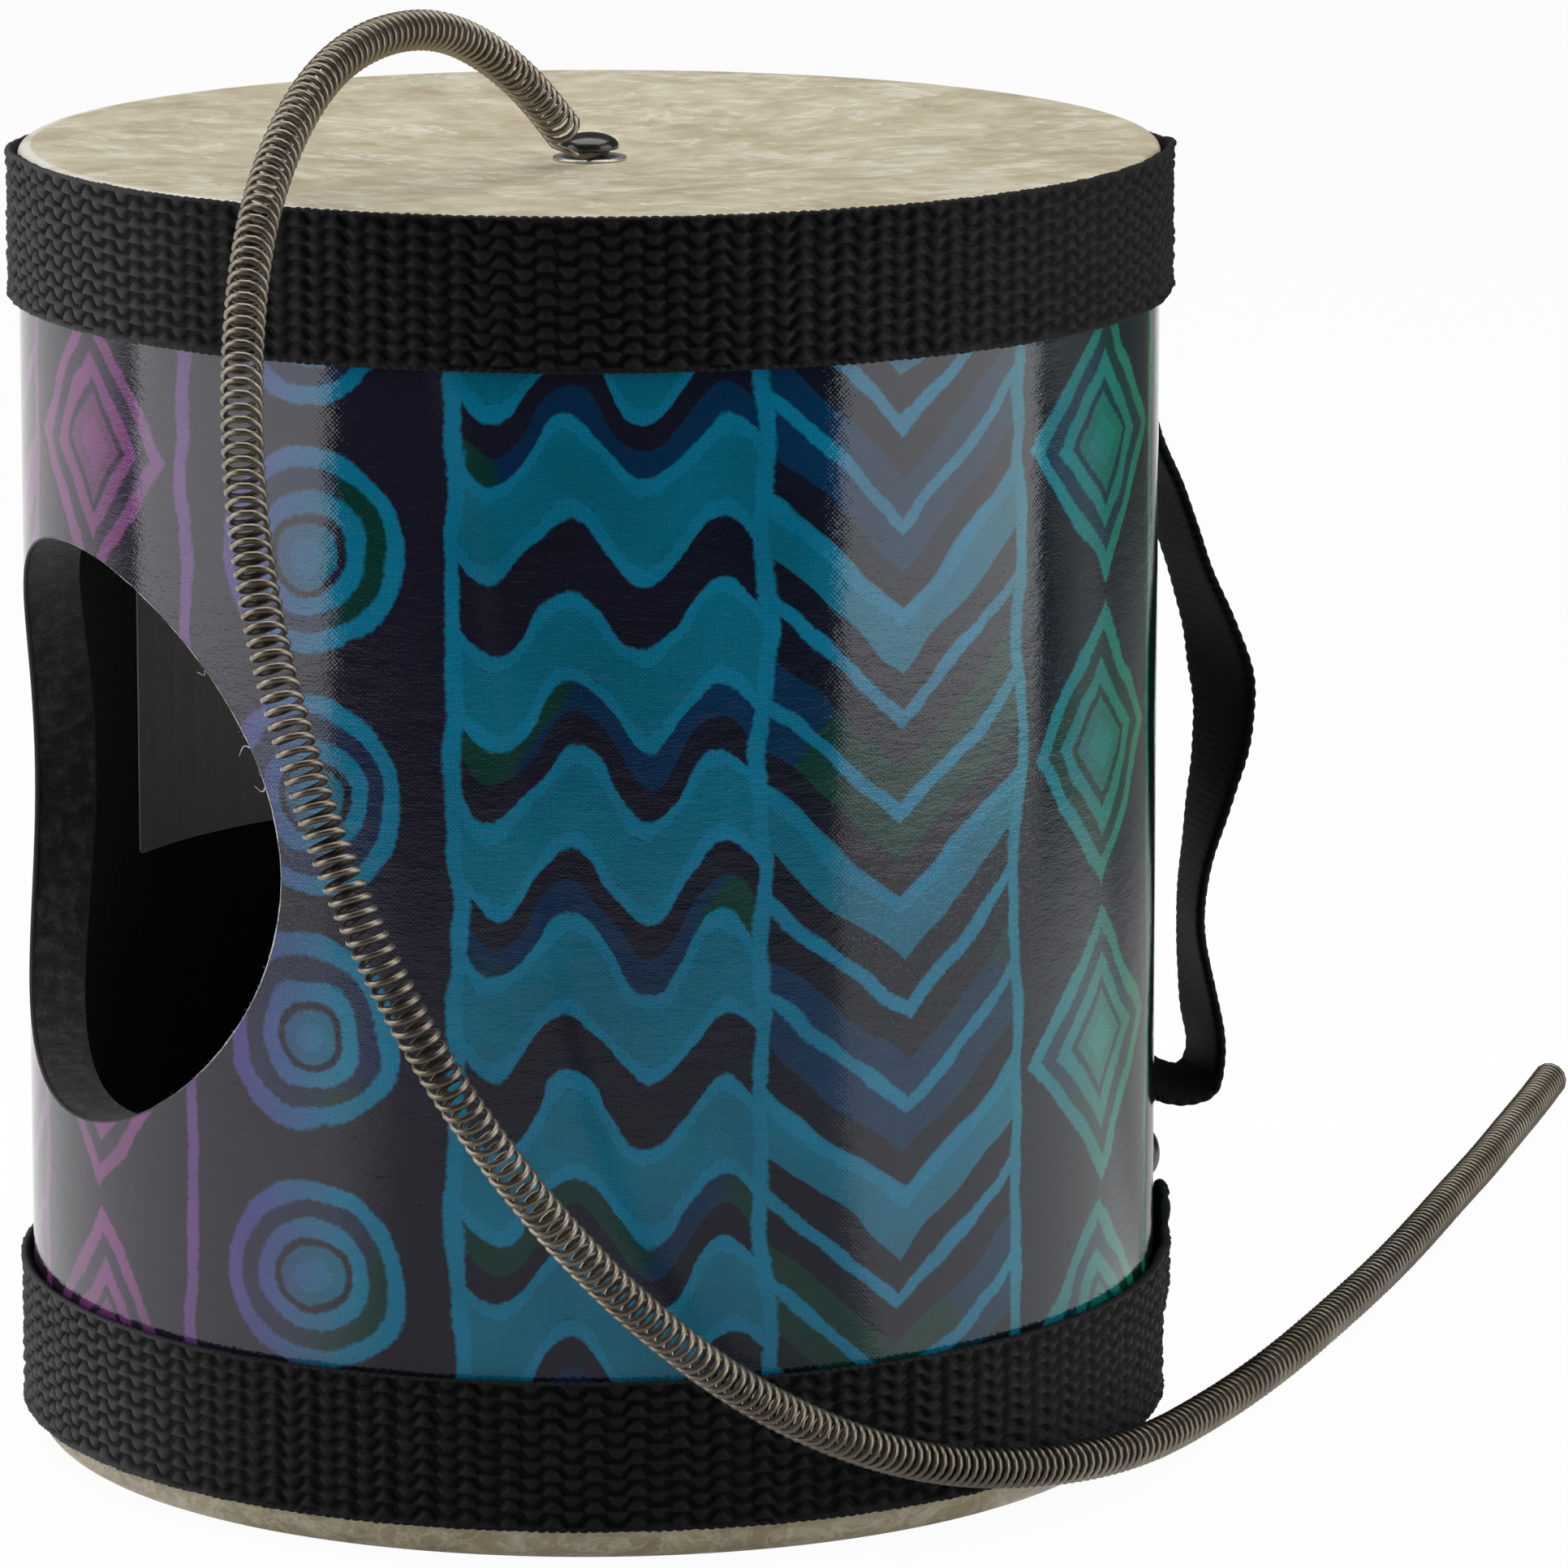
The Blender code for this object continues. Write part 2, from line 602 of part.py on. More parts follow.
def screw_cutters():
    """Cutters for the holes that the strap's screws pass through."""
    turn = facing_out(STRAP_AZIMUTH)
    for name, level in (("upper", UPPER_SCREW_LEVEL), ("lower", LOWER_SCREW_LEVEL)):
        place = out_along(STRAP_AZIMUTH, SHELL_RADIUS, level)
        bore = 2 * BORE_RADIUS
        length = SHELL_RADIUS / 2
        yield ellipse_cutter(f"{name}_screw_hole", bore, bore, length, SMALL_STEPS, place, turn)


def build():
    fibre = new_material("black_fibreboard", (0.012, 0.012, 0.012), 0.90)
    print_cloth = new_material("printed_cloth", (0.020, 0.035, 0.085), 0.22)
    film = new_material("parchment_film", (0.480, 0.420, 0.300), 0.45)
    webbing = new_material("black_webbing", (0.012, 0.012, 0.012), 0.80)
    steel = new_material("spring_steel", (0.330, 0.300, 0.250), 0.30, 1.0)
    black = new_material("black_screw", (0.010, 0.010, 0.011), 0.20, 0.6)
    zinc = new_material("zinc_plate", (0.550, 0.550, 0.530), 0.35, 1.0)
    paper = new_material("label_paper", (0.600, 0.590, 0.560), 0.70)

    shell = make_shell(fibre)
    cover = make_cover(print_cloth)
    hole_place = out_along(HOLE_AZIMUTH, SHELL_RADIUS, HOLE_LEVEL)
    hole_turn = facing_out(HOLE_AZIMUTH)
    hole_size = (HOLE_TALL, HOLE_WIDTH, SHELL_RADIUS, HOLE_STEPS)
    hand_hole = ellipse_cutter("hand_hole", *hole_size, hole_place, hole_turn)
    strap = make_strap(webbing)
    for part in (shell, cover):
        cut(part, hand_hole)
    for screw_hole in screw_cutters():
        for part in (shell, cover, strap):
            cut(part, screw_hole)

    make_top_head(film)
    make_bottom_head(film)
    make_band("top_band", DRUM_HEIGHT - TOP_BAND_DROP - BAND_WIDTH, webbing)
    make_band("bottom_band", BOTTOM_BAND_RISE, webbing)
    make_label(paper)
    make_spring_anchor(black, zinc)
    make_strap_fastening("upper", UPPER_SCREW_LEVEL, black, zinc)
    make_strap_fastening("lower", LOWER_SCREW_LEVEL, black, zinc)
    make_spring(steel)


clear_scene()
PARTS = new_collection("spring_drum")
CUTTERS = new_collection("cutters")
BASE = bpy.data.objects.new("drum_base", None)
PARTS.objects.link(BASE)
build()
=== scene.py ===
"""Looks of the spring drum: printed cloth, parchment heads, black webbing and one long spring, with
a studio's floor, lamps and camera.

Meshes are made in the CAD's frame: metres, Z up along the drum's axis, the front at -Y. An azimuth
is in degrees, from the front to the right.
"""

import math

import bpy
import numpy as np
from mathutils import Matrix


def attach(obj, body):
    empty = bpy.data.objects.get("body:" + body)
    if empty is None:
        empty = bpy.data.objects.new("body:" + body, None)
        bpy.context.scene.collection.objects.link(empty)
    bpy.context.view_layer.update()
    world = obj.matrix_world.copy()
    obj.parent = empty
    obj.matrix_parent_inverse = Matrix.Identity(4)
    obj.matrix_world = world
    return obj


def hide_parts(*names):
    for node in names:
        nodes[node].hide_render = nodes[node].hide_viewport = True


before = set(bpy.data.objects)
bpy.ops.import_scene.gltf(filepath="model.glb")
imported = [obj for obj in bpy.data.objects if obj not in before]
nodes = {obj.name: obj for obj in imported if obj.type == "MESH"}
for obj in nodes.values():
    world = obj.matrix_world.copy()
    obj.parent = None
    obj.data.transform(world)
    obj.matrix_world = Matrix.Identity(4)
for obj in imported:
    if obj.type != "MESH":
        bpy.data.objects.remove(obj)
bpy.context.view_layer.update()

# Sizes that the CAD also has
DRUM_HEIGHT = 0.2050
SHELL_RADIUS = 0.0882
SHELL_BORE = 0.0802
SHELL_ENDS = (0.0007, 0.2043)
COVER_RADIUS = 0.0889
COVER_THICKNESS = 0.0004
COVER_ENDS = (0.0146, 0.1904)
HOLE_AZIMUTH = -64.2
HOLE_LEVEL = 0.1034
HOLE_HALF_WIDE = 0.04775
HOLE_HALF_TALL = 0.0450
FILM_RADIUS = 0.0889
FILM_SKIRT = 0.0140
TOP_EDGE = 0.0015
BOTTOM_EDGE = 0.0055
HEAD_DISH = 0.0035
DISH_POWER = 1.3
CLAMP_RADIUS = 0.0063
BAND_BORE = 0.0892
BAND_THICKNESS = 0.0019
BAND_WIDTH = 0.0227
BAND_BOTTOMS = {"top": 0.1819, "bottom": 0.0063}
SHANK_RADIUS = 0.0020
SHANK_HOLE = 0.0023
STRAP_AZIMUTH = 105.0
STRAP_WIDTH = 0.0190
STRAP_THICKNESS = 0.0017
STRAP_WRAP_FADE = 0.0040
TAB_OUT = 0.09005
TAB_END = 0.0062
UPPER_SCREW = 0.1680
LOWER_SCREW = 0.0371
WIRE_RADIUS = 0.000425
COIL_DIAMETER = 0.00635
EYE_LEVEL = 0.203125
EYE_RADIUS = 0.002725
SPRING_AZIMUTH = -30.0

# The walls with the hole: a patch of even steps round it, and wider steps beyond
PATCH_HALF = 45.0
PATCH_STEP = 2.5
PATCH_HALF_TALL = 0.055
PATCH_LEVELS = 23
FAR_LEVELS = 15
FAR_CROWD = 1.8
HOLE_RINGS = (0, 0.05, 0.13, 0.25, 0.42, 0.62, 0.82)
BISECTIONS = 40
CUT_LAYERS = 9
CUT_ROUGHNESS = 0.00012
HOLE_SIZE = 0.046
FIBRES = 150
FIBRE_LENGTHS = (0.00010, 0.00060)
FIBRE_RADIUS = 0.00003
# Loose threads: height on the drum, length, way they curl
LOOSE_THREADS = ((0.1335, 0.0012, 1.0), (0.1220, 0.0022, -1.0), (0.1172, 0.0016, 1.0))
THREAD_POINTS = 10
THREAD_RADII = (0.00013, 0.00006)

# The heads
HEAD_STEPS = 180
DISH_RINGS = 24
CLAMP_LIFT = 0.0004
TOP_RINGS = (0.0825, 0.0845, 0.0862)
BOTTOM_RINGS = (0.075, 0.055, 0.030, 0.010)

# The bands' webbing: knots in columns and rows, a cord along each edge, and laps
BAND_COLUMNS = 176
COLUMN_POINTS = 8
FACE_POINTS = 60
EDGE_POINTS = 5
BAND_OUT = BAND_BORE + BAND_THICKNESS
COLUMN = 2 * math.pi * BAND_OUT / BAND_COLUMNS
ROW = BAND_WIDTH / 9.6
KNOT_ROWS = 12
KNOT_RELIEF = 0.0013
BAND_SPREAD = 0.0009
CORD_MIDDLE = BAND_BORE + 0.00096
CORD_THICK = 0.0009
CORD_TALL = 0.0005
CORD_BLEND = 0.0004
TOP_LAP = 0.0005
BOTTOM_LAP_OUT = 0.0011
BOTTOM_END_OUT = 0.0003
BOTTOM_END_UP = 0.0067

# The strap's webbing
STRAP_STATIONS = 620
STRAP_POINTS = 40
RIB_PITCH = 0.0013
RIB_RELIEF = 0.00005
RIBS_ACROSS = 12
SCALLOP_PITCH = 0.0019
SCALLOP_DEPTH = 0.0004
STRAP_SWAY = 0.0002
STRAP_TURN = Matrix.Rotation(math.radians(STRAP_AZIMUTH - 90), 4, "Z")

# Screws and washers. A head has a radius, a height and a rim.
ANCHOR_HEAD = (0.0046, 0.0025, 0.0004)
STRAP_HEAD = (0.0044, 0.0036, 0.0008)
ANCHOR_GAP = 0.00004
STRAP_GAP = 0.0003
STRAP_PRESSED = {"upper": 0.0016, "lower": 0.0004}
SHANK_LENGTH = 0.0075
BEVEL = 0.0001
WASHER_LEVELS = (0.20190, 0.20240)
ZINC_NODES = (
    "spring_inner_washer", "upper_strap_washer", "lower_strap_washer",
    "spring_nut", "upper_strap_nut", "lower_strap_nut",
)

# The spring's coil
COIL_WIRE = 0.00050
COIL_RADIUS = COIL_DIAMETER / 2 - COIL_WIRE
WIRE_SIDES = 8
CURL_POINTS = 14
ROUTE_POINTS = 4000
LEAD_POINTS = 7
LEAD_CLEAR = 0.0047
LEAD_MIDDLE = 0.0023
LEAD_PULL = 0.0030
# Points past the eye that also take the painted shade under the screw's head
SHADED_LEAD = 5

# The camera, fitted to the photo: its width and focal length are in pixels
PHOTO_WIDE = 1932
PHOTO_FOCAL = 12175.76
SENSOR = 36.0
CAMERA_PLACE = (0, -1.52923, 0.40557)
CAMERA_TURN = (math.pi / 2 - 0.1956, 0, -0.0198)

# The strap's middle, from its upper screw: how far out from its tab, share of the way down to the
# lower screw, twist in degrees
STRAP_LOOP = (
    (0.0000, 0.045, 0), (0.0008, 0.085, 0), (0.0044, 0.162, -2), (0.0078, 0.245, -5),
    (0.0120, 0.332, -10), (0.0146, 0.413, -15), (0.0148, 0.465, -12), (0.0130, 0.545, -3),
    (0.0107, 0.625, 5), (0.0096, 0.700, 7), (0.0106, 0.780, 2), (0.0118, 0.840, -2),
)
# The fold at its lower end: how far out, height over the lower screw, twist in degrees
STRAP_FOLD = (
    (0.0121, 0.0141, 0), (0.0107, 0.0115, -3), (0.0077, 0.0111, -8), (0.0042, 0.0121, -14),
    (0.0016, 0.0129, -14), (0.0003, 0.0106, -3), (0.0000, 0.0080, 0), (0.0000, 0.0060, 0),
)

# Middle of the spring's coil, as in the CAD
SPRING_ROUTE = (
    (-0.0038, -0.0065, 0.2068), (-0.0081, -0.0140, 0.2133), (-0.0140, -0.0242, 0.2203),
    (-0.0232, -0.0381, 0.2265), (-0.0359, -0.0575, 0.2255), (-0.0441, -0.0778, 0.2170),
    (-0.0484, -0.0979, 0.2057), (-0.0500, -0.1167, 0.1919), (-0.0496, -0.1330, 0.1750),
    (-0.0466, -0.1462, 0.1558), (-0.0407, -0.1563, 0.1354), (-0.0326, -0.1613, 0.1141),
    (-0.0223, -0.1587, 0.0932), (-0.0115, -0.1493, 0.0747), (-0.0002, -0.1370, 0.0582),
    (0.0118, -0.1231, 0.0435), (0.0248, -0.1084, 0.0306), (0.0390, -0.0930, 0.0200),
    (0.0550, -0.0778, 0.0122), (0.0722, -0.0623, 0.0083), (0.0854, -0.0430, 0.0062),
    (0.0946, -0.0215, 0.0045), (0.1032, 0.0002, 0.0034), (0.1122, 0.0221, 0.0034),
    (0.1203, 0.0441, 0.0034), (0.1281, 0.0662, 0.0034), (0.1355, 0.0885, 0.0034),
    (0.1425, 0.1110, 0.0035), (0.1492, 0.1335, 0.0035), (0.1559, 0.1560, 0.0034),
    (0.1623, 0.1786, 0.0034), (0.1687, 0.2012, 0.0034), (0.1742, 0.2216, 0.0034),
)
# Distance from one curl to the next along the spring: (metres from the anchor, pitch)
SPRING_PITCH = (
    (0.000, 0.00210), (0.012, 0.00212), (0.025, 0.00186), (0.039, 0.00160),
    (0.052, 0.00154), (0.066, 0.00173), (0.079, 0.00199), (0.092, 0.00217),
    (0.115, 0.00232), (0.147, 0.00220), (0.197, 0.00209), (0.220, 0.00197),
    (0.242, 0.00209), (0.268, 0.00234), (0.300, 0.00245), (0.332, 0.00238),
    (0.368, 0.00211), (0.392, 0.00174), (0.408, 0.00163), (0.427, 0.00188),
    (0.444, 0.00230), (0.466, 0.00248), (0.511, 0.00222), (0.730, 0.00210),
)


class Num:
    """A number in a material's nodes. Arithmetic on it adds Math nodes."""

    def __init__(self, graph, socket):
        self.graph = graph
        self.socket = socket

    def do(self, operation, *others):
        return self.graph.maths(operation, self, *others)

    def __add__(self, other):
        return self.do("ADD", other)

    __radd__ = __add__

    def __sub__(self, other):
        return self.do("SUBTRACT", other)

    def __rsub__(self, other):
        return self.graph.maths("SUBTRACT", other, self)

    def __mul__(self, other):
        return self.do("MULTIPLY", other)

    def __truediv__(self, other):
        return self.do("DIVIDE", other)

    def __abs__(self):
        return self.do("ABSOLUTE")

    def sin(self):
        return self.do("SINE")

    def fract(self):
        return self.do("FRACT")

    def floor(self):
        return self.do("FLOOR")

    def most(self, other):
        return self.do("MAXIMUM", other)

    def power(self, other):
        return self.do("POWER", other)

    def ramp(self, low, high):
        """0 at or below low, 1 at or above high, smooth between. With low above high, it falls."""
        node = self.graph.add("ShaderNodeMapRange", interpolation_type="SMOOTHSTEP")
        values = (low, high, 0.0, 1.0) if low < high else (high, low, 1.0, 0.0)
        self.graph.put(node.inputs["Value"], self)
        for name, value in zip(("From Min", "From Max", "To Min", "To Max"), values):
            node.inputs[name].default_value = value
        return Num(self.graph, node.outputs["Result"])


class Graph:
    """A material with one Principled shader, and its maths written as plain expressions."""

    def __init__(self, name, **values):
        self.material = bpy.data.materials.new(name)
        self.material.use_nodes = True
        self.tree = self.material.node_tree
        self.shader = self.tree.nodes["Principled BSDF"]
        self.set(**values)

    def set(self, **values):
        for name, value in values.items():
            self.put(self.shader.inputs[name.replace("_", " ")], value)

    def add(self, kind, **settings):
        node = self.tree.nodes.new(kind)
        for name, value in settings.items():
            setattr(node, name, value)
        return node

    def put(self, socket, value):
        if isinstance(value, Num):
            value = value.socket
        if isinstance(value, bpy.types.NodeSocket):
            self.tree.links.new(value, socket)
        elif isinstance(value, tuple) and len(value) == 3 and socket.type == "RGBA":
            socket.default_value = (*value, 1.0)
        else:
            socket.default_value = value

    def maths(self, operation, *values):
        node = self.add("ShaderNodeMath", operation=operation)
        for socket, value in zip(node.inputs, values):
            self.put(socket, value)
        return Num(self, node.outputs[0])

    def place(self):
        """The point's place in the frame at rest, in millimetres."""
        coords = self.add("ShaderNodeTexCoord")
        parts = self.add("ShaderNodeSeparateXYZ")
        self.put(parts.inputs[0], coords.outputs["Object"])
        return [Num(self, parts.outputs[i]) * 1000.0 for i in range(3)]

    def azimuth(self, x, y):
        """Turn about the drum's axis, in radians from the front to the right."""
        return self.maths("ARCTAN2", x, 0.0 - y)

    def vector(self, x, y, z):
        node = self.add("ShaderNodeCombineXYZ")
        for socket, value in zip(node.inputs, (x, y, z)):
            self.put(socket, value)
        return node.outputs[0]

    def noise(self, vector, scale, detail=2.0, rough=0.5, distort=0.0):
        node = self.add("ShaderNodeTexNoise")
        self.put(node.inputs["Vector"], vector)
        values = {"Scale": scale, "Detail": detail, "Roughness": rough, "Distortion": distort}
        for name, value in values.items():
            node.inputs[name].default_value = value
        return Num(self, node.outputs["Fac"])

    def mix(self, share, first, second, how="MIX"):
        node = self.add("ShaderNodeMix", data_type="RGBA", blend_type=how)
        self.put(node.inputs["Factor"], share)
        self.put(node.inputs[6], first)
        self.put(node.inputs[7], second)
        return node.outputs[2]

    def stops(self, value, *stops):
        """A colour that runs through (position, colour) stops."""
        node = self.add("ShaderNodeValToRGB")
        ramp = node.color_ramp
        while len(ramp.elements) < len(stops):
            ramp.elements.new(0.5)
        for element, (position, colour) in zip(ramp.elements, stops):
            element.position = position
            element.color = (*colour, 1.0)
        self.put(node.inputs["Fac"], value)
        return node.outputs["Color"]

    def bump(self, height, depth):
        """Raises the surface by height times depth, in metres."""
        node = self.add("ShaderNodeBump")
        node.inputs["Strength"].default_value = 1.0
        node.inputs["Distance"].default_value = depth
        self.put(node.inputs["Height"], height)
        self.put(self.shader.inputs["Normal"], node.outputs["Normal"])


def hypot(first, second):
    return (first * first + second * second).power(0.5)


def unit(vectors):
    return vectors / np.linalg.norm(vectors, axis=-1, keepdims=True)


def azimuth_point(radius, azimuth, level):
    """The point this far from the drum's axis, at this azimuth and height."""
    turn = math.radians(azimuth)
    return (radius * math.sin(turn), -radius * math.cos(turn), level)


def print_material():
    """Glossy printed cloth: upright panels of loose hand-drawn motifs on a dark ground."""
    g = Graph("printed_cloth", IOR=1.55)
    x, y, z = g.place()
    turn = g.azimuth(x, y)
    along = turn * (1000 * COVER_RADIUS)
    spread = g.vector(along, z, 0.0)

    # Lengths are in millimetres. The lines wander, and their edges are ragged.
    wander = (g.noise(spread, 0.045, 2.0) - 0.5) * 7.0
    ragged = (g.noise(spread, 0.9, 1.0) - 0.5) * 0.9
    s = along + wander + 300.0
    h = z + (g.noise(g.vector(along, z, 40.0), 0.05, 2.0) - 0.5) * 7.0
    panel_wide, kinds = 46.55, 4
    lozenge_tall, ring_tall, wave_apart, vee_apart = 47.0, 37.0, 12.5, 15.0
    line, soft = 1.45, 0.35
    kind = ((s / panel_wide).floor() / kinds).fract() * kinds
    chosen = [abs(kind - number).ramp(0.3, 0.2) for number in range(kinds)]

    def repeat(share, apart):
        return (share.fract() - 0.5) * apart

    def stroke(distance):
        return (abs(distance) + ragged).ramp(line + soft, line - soft)

    def inside(distance, edge, fade):
        return (distance + ragged).ramp(edge, edge - fade)

    def stripes(share, half, fray):
        return (abs(share.fract() - 0.5) + ragged * fray).ramp(half, half - 0.01)

    def by_panel(*motifs):
        """Lozenges, rings, waves and vees, each in every fourth panel."""
        shown = chosen[0] * motifs[0]
        for here, motif in zip(chosen[1:], motifs[1:]):
            shown = shown.most(here * motif)
        return shown

    u = repeat(s / panel_wide, panel_wide)
    lozenge = abs(u) * 0.80 + abs(repeat(h / lozenge_tall, lozenge_tall)) * 0.72
    ring = hypot(u, repeat(h / ring_tall + 0.35, ring_tall))
    wave = h + (u * 0.27).sin() * 5.5
    vee = h - abs(u) * 0.85
    drawn = by_panel(
        stroke(lozenge - 14.5).most(stroke(lozenge - 8.6)).most(inside(lozenge, 3.6, 0.6)),
        stroke(ring - 13.6).most(stroke(ring - 7.6)).most(inside(ring, 3.0, 0.6)),
        stroke(repeat(wave / wave_apart, wave_apart)),
        stroke(repeat(vee / vee_apart, vee_apart)),
    )
    drawn = drawn.most(stroke(panel_wide / 2 - abs(u) + 0.2))
    filled = by_panel(
        inside(lozenge, 14.6, 0.4),
        inside(ring, 13.8, 0.4) * (ring + ragged).ramp(7.4, 7.8),
        stripes(wave / (3 * wave_apart), 0.17, 0.004),
        stripes(vee / (3 * vee_apart), 0.17, 0.004),
    )
    solid = by_panel(
        inside(lozenge, 6.0, 0.6),
        inside(ring, 5.2, 0.6),
        stripes(wave / (2 * wave_apart), 0.20, 0.006),
        stripes(vee / (3 * vee_apart) + 0.4, 0.115, 0.004),
    )

    # Inks and grounds change round the drum: 0.5 is the front, 0.25 the left, 0.75 the right
    around = turn / (2 * math.pi) + 0.5
    magenta, violet = (0.17, 0.045, 0.16), (0.06, 0.05, 0.20)
    teal, green = (0.003, 0.15, 0.26), (0.006, 0.17, 0.085)
    ink = g.stops(
        around,
        (0.00, green), (0.14, (0.05, 0.10, 0.10)),
        (0.24, magenta), (0.355, magenta),
        (0.40, violet), (0.43, teal),
        (0.61, teal), (0.66, (0.004, 0.15, 0.15)),
        (0.70, green), (1.00, green),
    )
    deep = g.stops(
        around,
        (0.00, (0.004, 0.030, 0.026)), (0.24, (0.030, 0.016, 0.040)),
        (0.37, (0.022, 0.016, 0.040)), (0.46, (0.003, 0.020, 0.060)),
        (0.58, (0.002, 0.028, 0.075)), (0.72, (0.003, 0.034, 0.034)),
        (1.00, (0.004, 0.030, 0.026)),
    )
    ground = g.stops(
        around,
        (0.00, (0.006, 0.012, 0.016)), (0.24, (0.024, 0.016, 0.028)),
        (0.40, (0.012, 0.010, 0.022)), (0.55, (0.006, 0.008, 0.018)),
        (0.72, (0.004, 0.014, 0.016)), (1.00, (0.006, 0.012, 0.016)),
    )
    leaf = g.noise(g.vector(along, z, 140.0), 0.022, 1.0).ramp(0.49, 0.52)
    deep = g.mix(leaf * turn.ramp(-0.55, -0.45), deep, (0.003, 0.034, 0.026))
    colour = g.mix(filled, ground, deep)
    colour = g.mix(solid, colour, g.mix(1.0, ink, (0.72, 0.80, 0.74), "MULTIPLY"))
    colour = g.mix(drawn, colour, ink)

    def threads(value, pitch):
        return (value * (2 * math.pi / pitch)).sin()

    weave_pitch, thread_pitch = 0.74, 0.40
    weave = threads(along, weave_pitch) * threads(z, weave_pitch)
    fine = threads(along, thread_pitch) + threads(z, thread_pitch) * 0.7
    speck = g.noise(spread, 2.2, 1.0)
    grain = g.noise(g.vector(along * 1.2, z * 5.0, 0.0), 0.6, 2.0)
    patchy = g.noise(g.vector(along, z, 90.0), 0.06, 3.0).ramp(0.30, 0.75)
    crease = g.noise(g.vector(along * 0.4, z, 7.0), 0.35, 3.0, 0.6)
    tone = 0.50 + fine * 0.13 + weave * 0.10 + speck * 0.36 + grain * 0.30 + patchy * 0.24
    shaded = g.mix(1.0, colour, g.vector(tone, tone, tone), "MULTIPLY")
    g.set(Base_Color=shaded, Roughness=0.020 + grain * 0.06)
    g.bump(weave * 0.45 + grain * 4.0 + crease * 12.0, 0.000006)
    return g.material


def film_material():
    """Parchment-like film: mottled cream and tan with pale veins, darker at its foot."""
    g = Graph("parchment_film")
    x, y, z = g.place()
    spread = g.vector(x, y, z)
    clouds = g.noise(spread, 0.105, 7.0, 0.68, 0.3)
    veins = abs(g.noise(g.vector(x * 0.7, y, z), 0.055, 4.0, 0.60, 0.8) - 0.5)
    fine = g.noise(spread, 0.55, 3.0, 0.6)
    colour = g.stops(
        clouds,
        (0.30, (0.425, 0.360, 0.238)), (0.44, (0.528, 0.462, 0.320)),
        (0.55, (0.602, 0.541, 0.397)), (0.70, (0.705, 0.655, 0.515)),
    )
    pale = veins.ramp(0.030, 0.0) * clouds.ramp(0.36, 0.58) * 0.8
    colour = g.mix(pale, colour, (0.770, 0.735, 0.630))
    colour = g.mix(fine.ramp(0.42, 0.75) * 0.26, colour, (0.400, 0.340, 0.230))

    # Painted highlight: the top's bend is whitened at the left, where the light catches it
    bend = hypot(x, y).ramp(86.6, 87.1) * z.ramp(200.0, 203.0) * x.ramp(-15.0, -60.0)
    painted_bend_highlight = bend * (0.4 + clouds.ramp(0.35, 0.60) * 0.5)
    colour = g.mix(painted_bend_highlight, colour, (0.800, 0.780, 0.710))

    # Under the lower band it is darker, with streaks, veins and blotches
    along = g.azimuth(x, y) * 89.0
    low = z.ramp(9.0, 3.0)
    streak = g.noise(g.vector(along, z * 0.12, 3.0), 0.5, 4.0, 0.6)
    skirt = abs(g.noise(g.vector(along, z * 1.4, 5.0), 0.13, 4.0, 0.65, 1.2) - 0.5)
    blotch = g.noise(g.vector(along, z, 9.0), 0.22, 4.0, 0.6)
    colour = g.mix(low, colour, (0.59, 0.55, 0.46), "MULTIPLY")
    colour = g.mix(streak.ramp(0.5, 0.8) * low * 0.5, colour, (0.240, 0.205, 0.135))
    colour = g.mix(skirt.ramp(0.06, 0.0) * low * 0.55, colour, (0.540, 0.500, 0.400))
    colour = g.mix(blotch.ramp(0.50, 0.66) * low * 0.45, colour, (0.190, 0.160, 0.100))
    g.set(Base_Color=colour, Roughness=0.36 + fine * 0.18)
    g.bump(clouds + fine * 0.3, 0.00006)
    return g.material


def webbing_material(name, shine):
    """Black synthetic webbing: lighter at the left, a painted sheen over a few dusty patches, and
    near black deep between the knots, a painted shade.
    """
    g = Graph(name, Sheen_Weight=shine * 0.1, Sheen_Roughness=0.5, Specular_IOR_Level=shine)
    x, y, z = g.place()
    spread = g.vector(x, y, z)
    fibres = g.noise(spread, 3.0, 3.0, 0.7)
    # Lighter at the left: a painted sheen where the light grazes the webbing, over a few dusty
    # patches
    dust_and_sheen = (g.noise(spread, 0.08, 3.0).ramp(0.5, 0.8) * 0.08).most(x.ramp(-50.0, -88.0))
    colour = g.stops(fibres, (0.30, (0.0025, 0.0025, 0.0027)), (0.70, (0.0070, 0.0070, 0.0075)))
    colour = g.mix(dust_and_sheen, colour, (0.0580, 0.0580, 0.0600))
    # Painted shade: near black deep between the knots, where the gaps are shaded
    out_of_painted_shade = hypot(x, y).ramp(89.80, 90.60)
    colour = g.mix(out_of_painted_shade, (0.0008, 0.0008, 0.0008), colour)
    g.set(Base_Color=colour, Roughness=0.5 + fibres * 0.25)
    g.bump(fibres, 0.00008)
    return g.material


def spring_material(name, dark, light, least_rough, tail_tone):
    """Dull nickel-plated wire with warm tarnish, in another tone on the tail along the floor."""
    g = Graph(name, Metallic=1.0)
    x, y, z = g.place()
    spread = g.vector(x, y, z)
    tarnish = g.noise(spread, 0.06, 3.0, 0.6)
    drawn = g.noise(spread, 2.5, 2.0)
    colour = g.stops(tarnish, (0.30, dark), (0.70, light))
    tail = x.ramp(40.0, 90.0) * (1 - x.ramp(120.0, 170.0) * 0.5)
    colour = g.mix(tail, colour, (tail_tone, tail_tone, tail_tone), "MULTIPLY")
    g.set(Base_Color=colour, Roughness=least_rough + drawn * 0.16)
    g.bump(drawn, 0.00001)
    return g.material


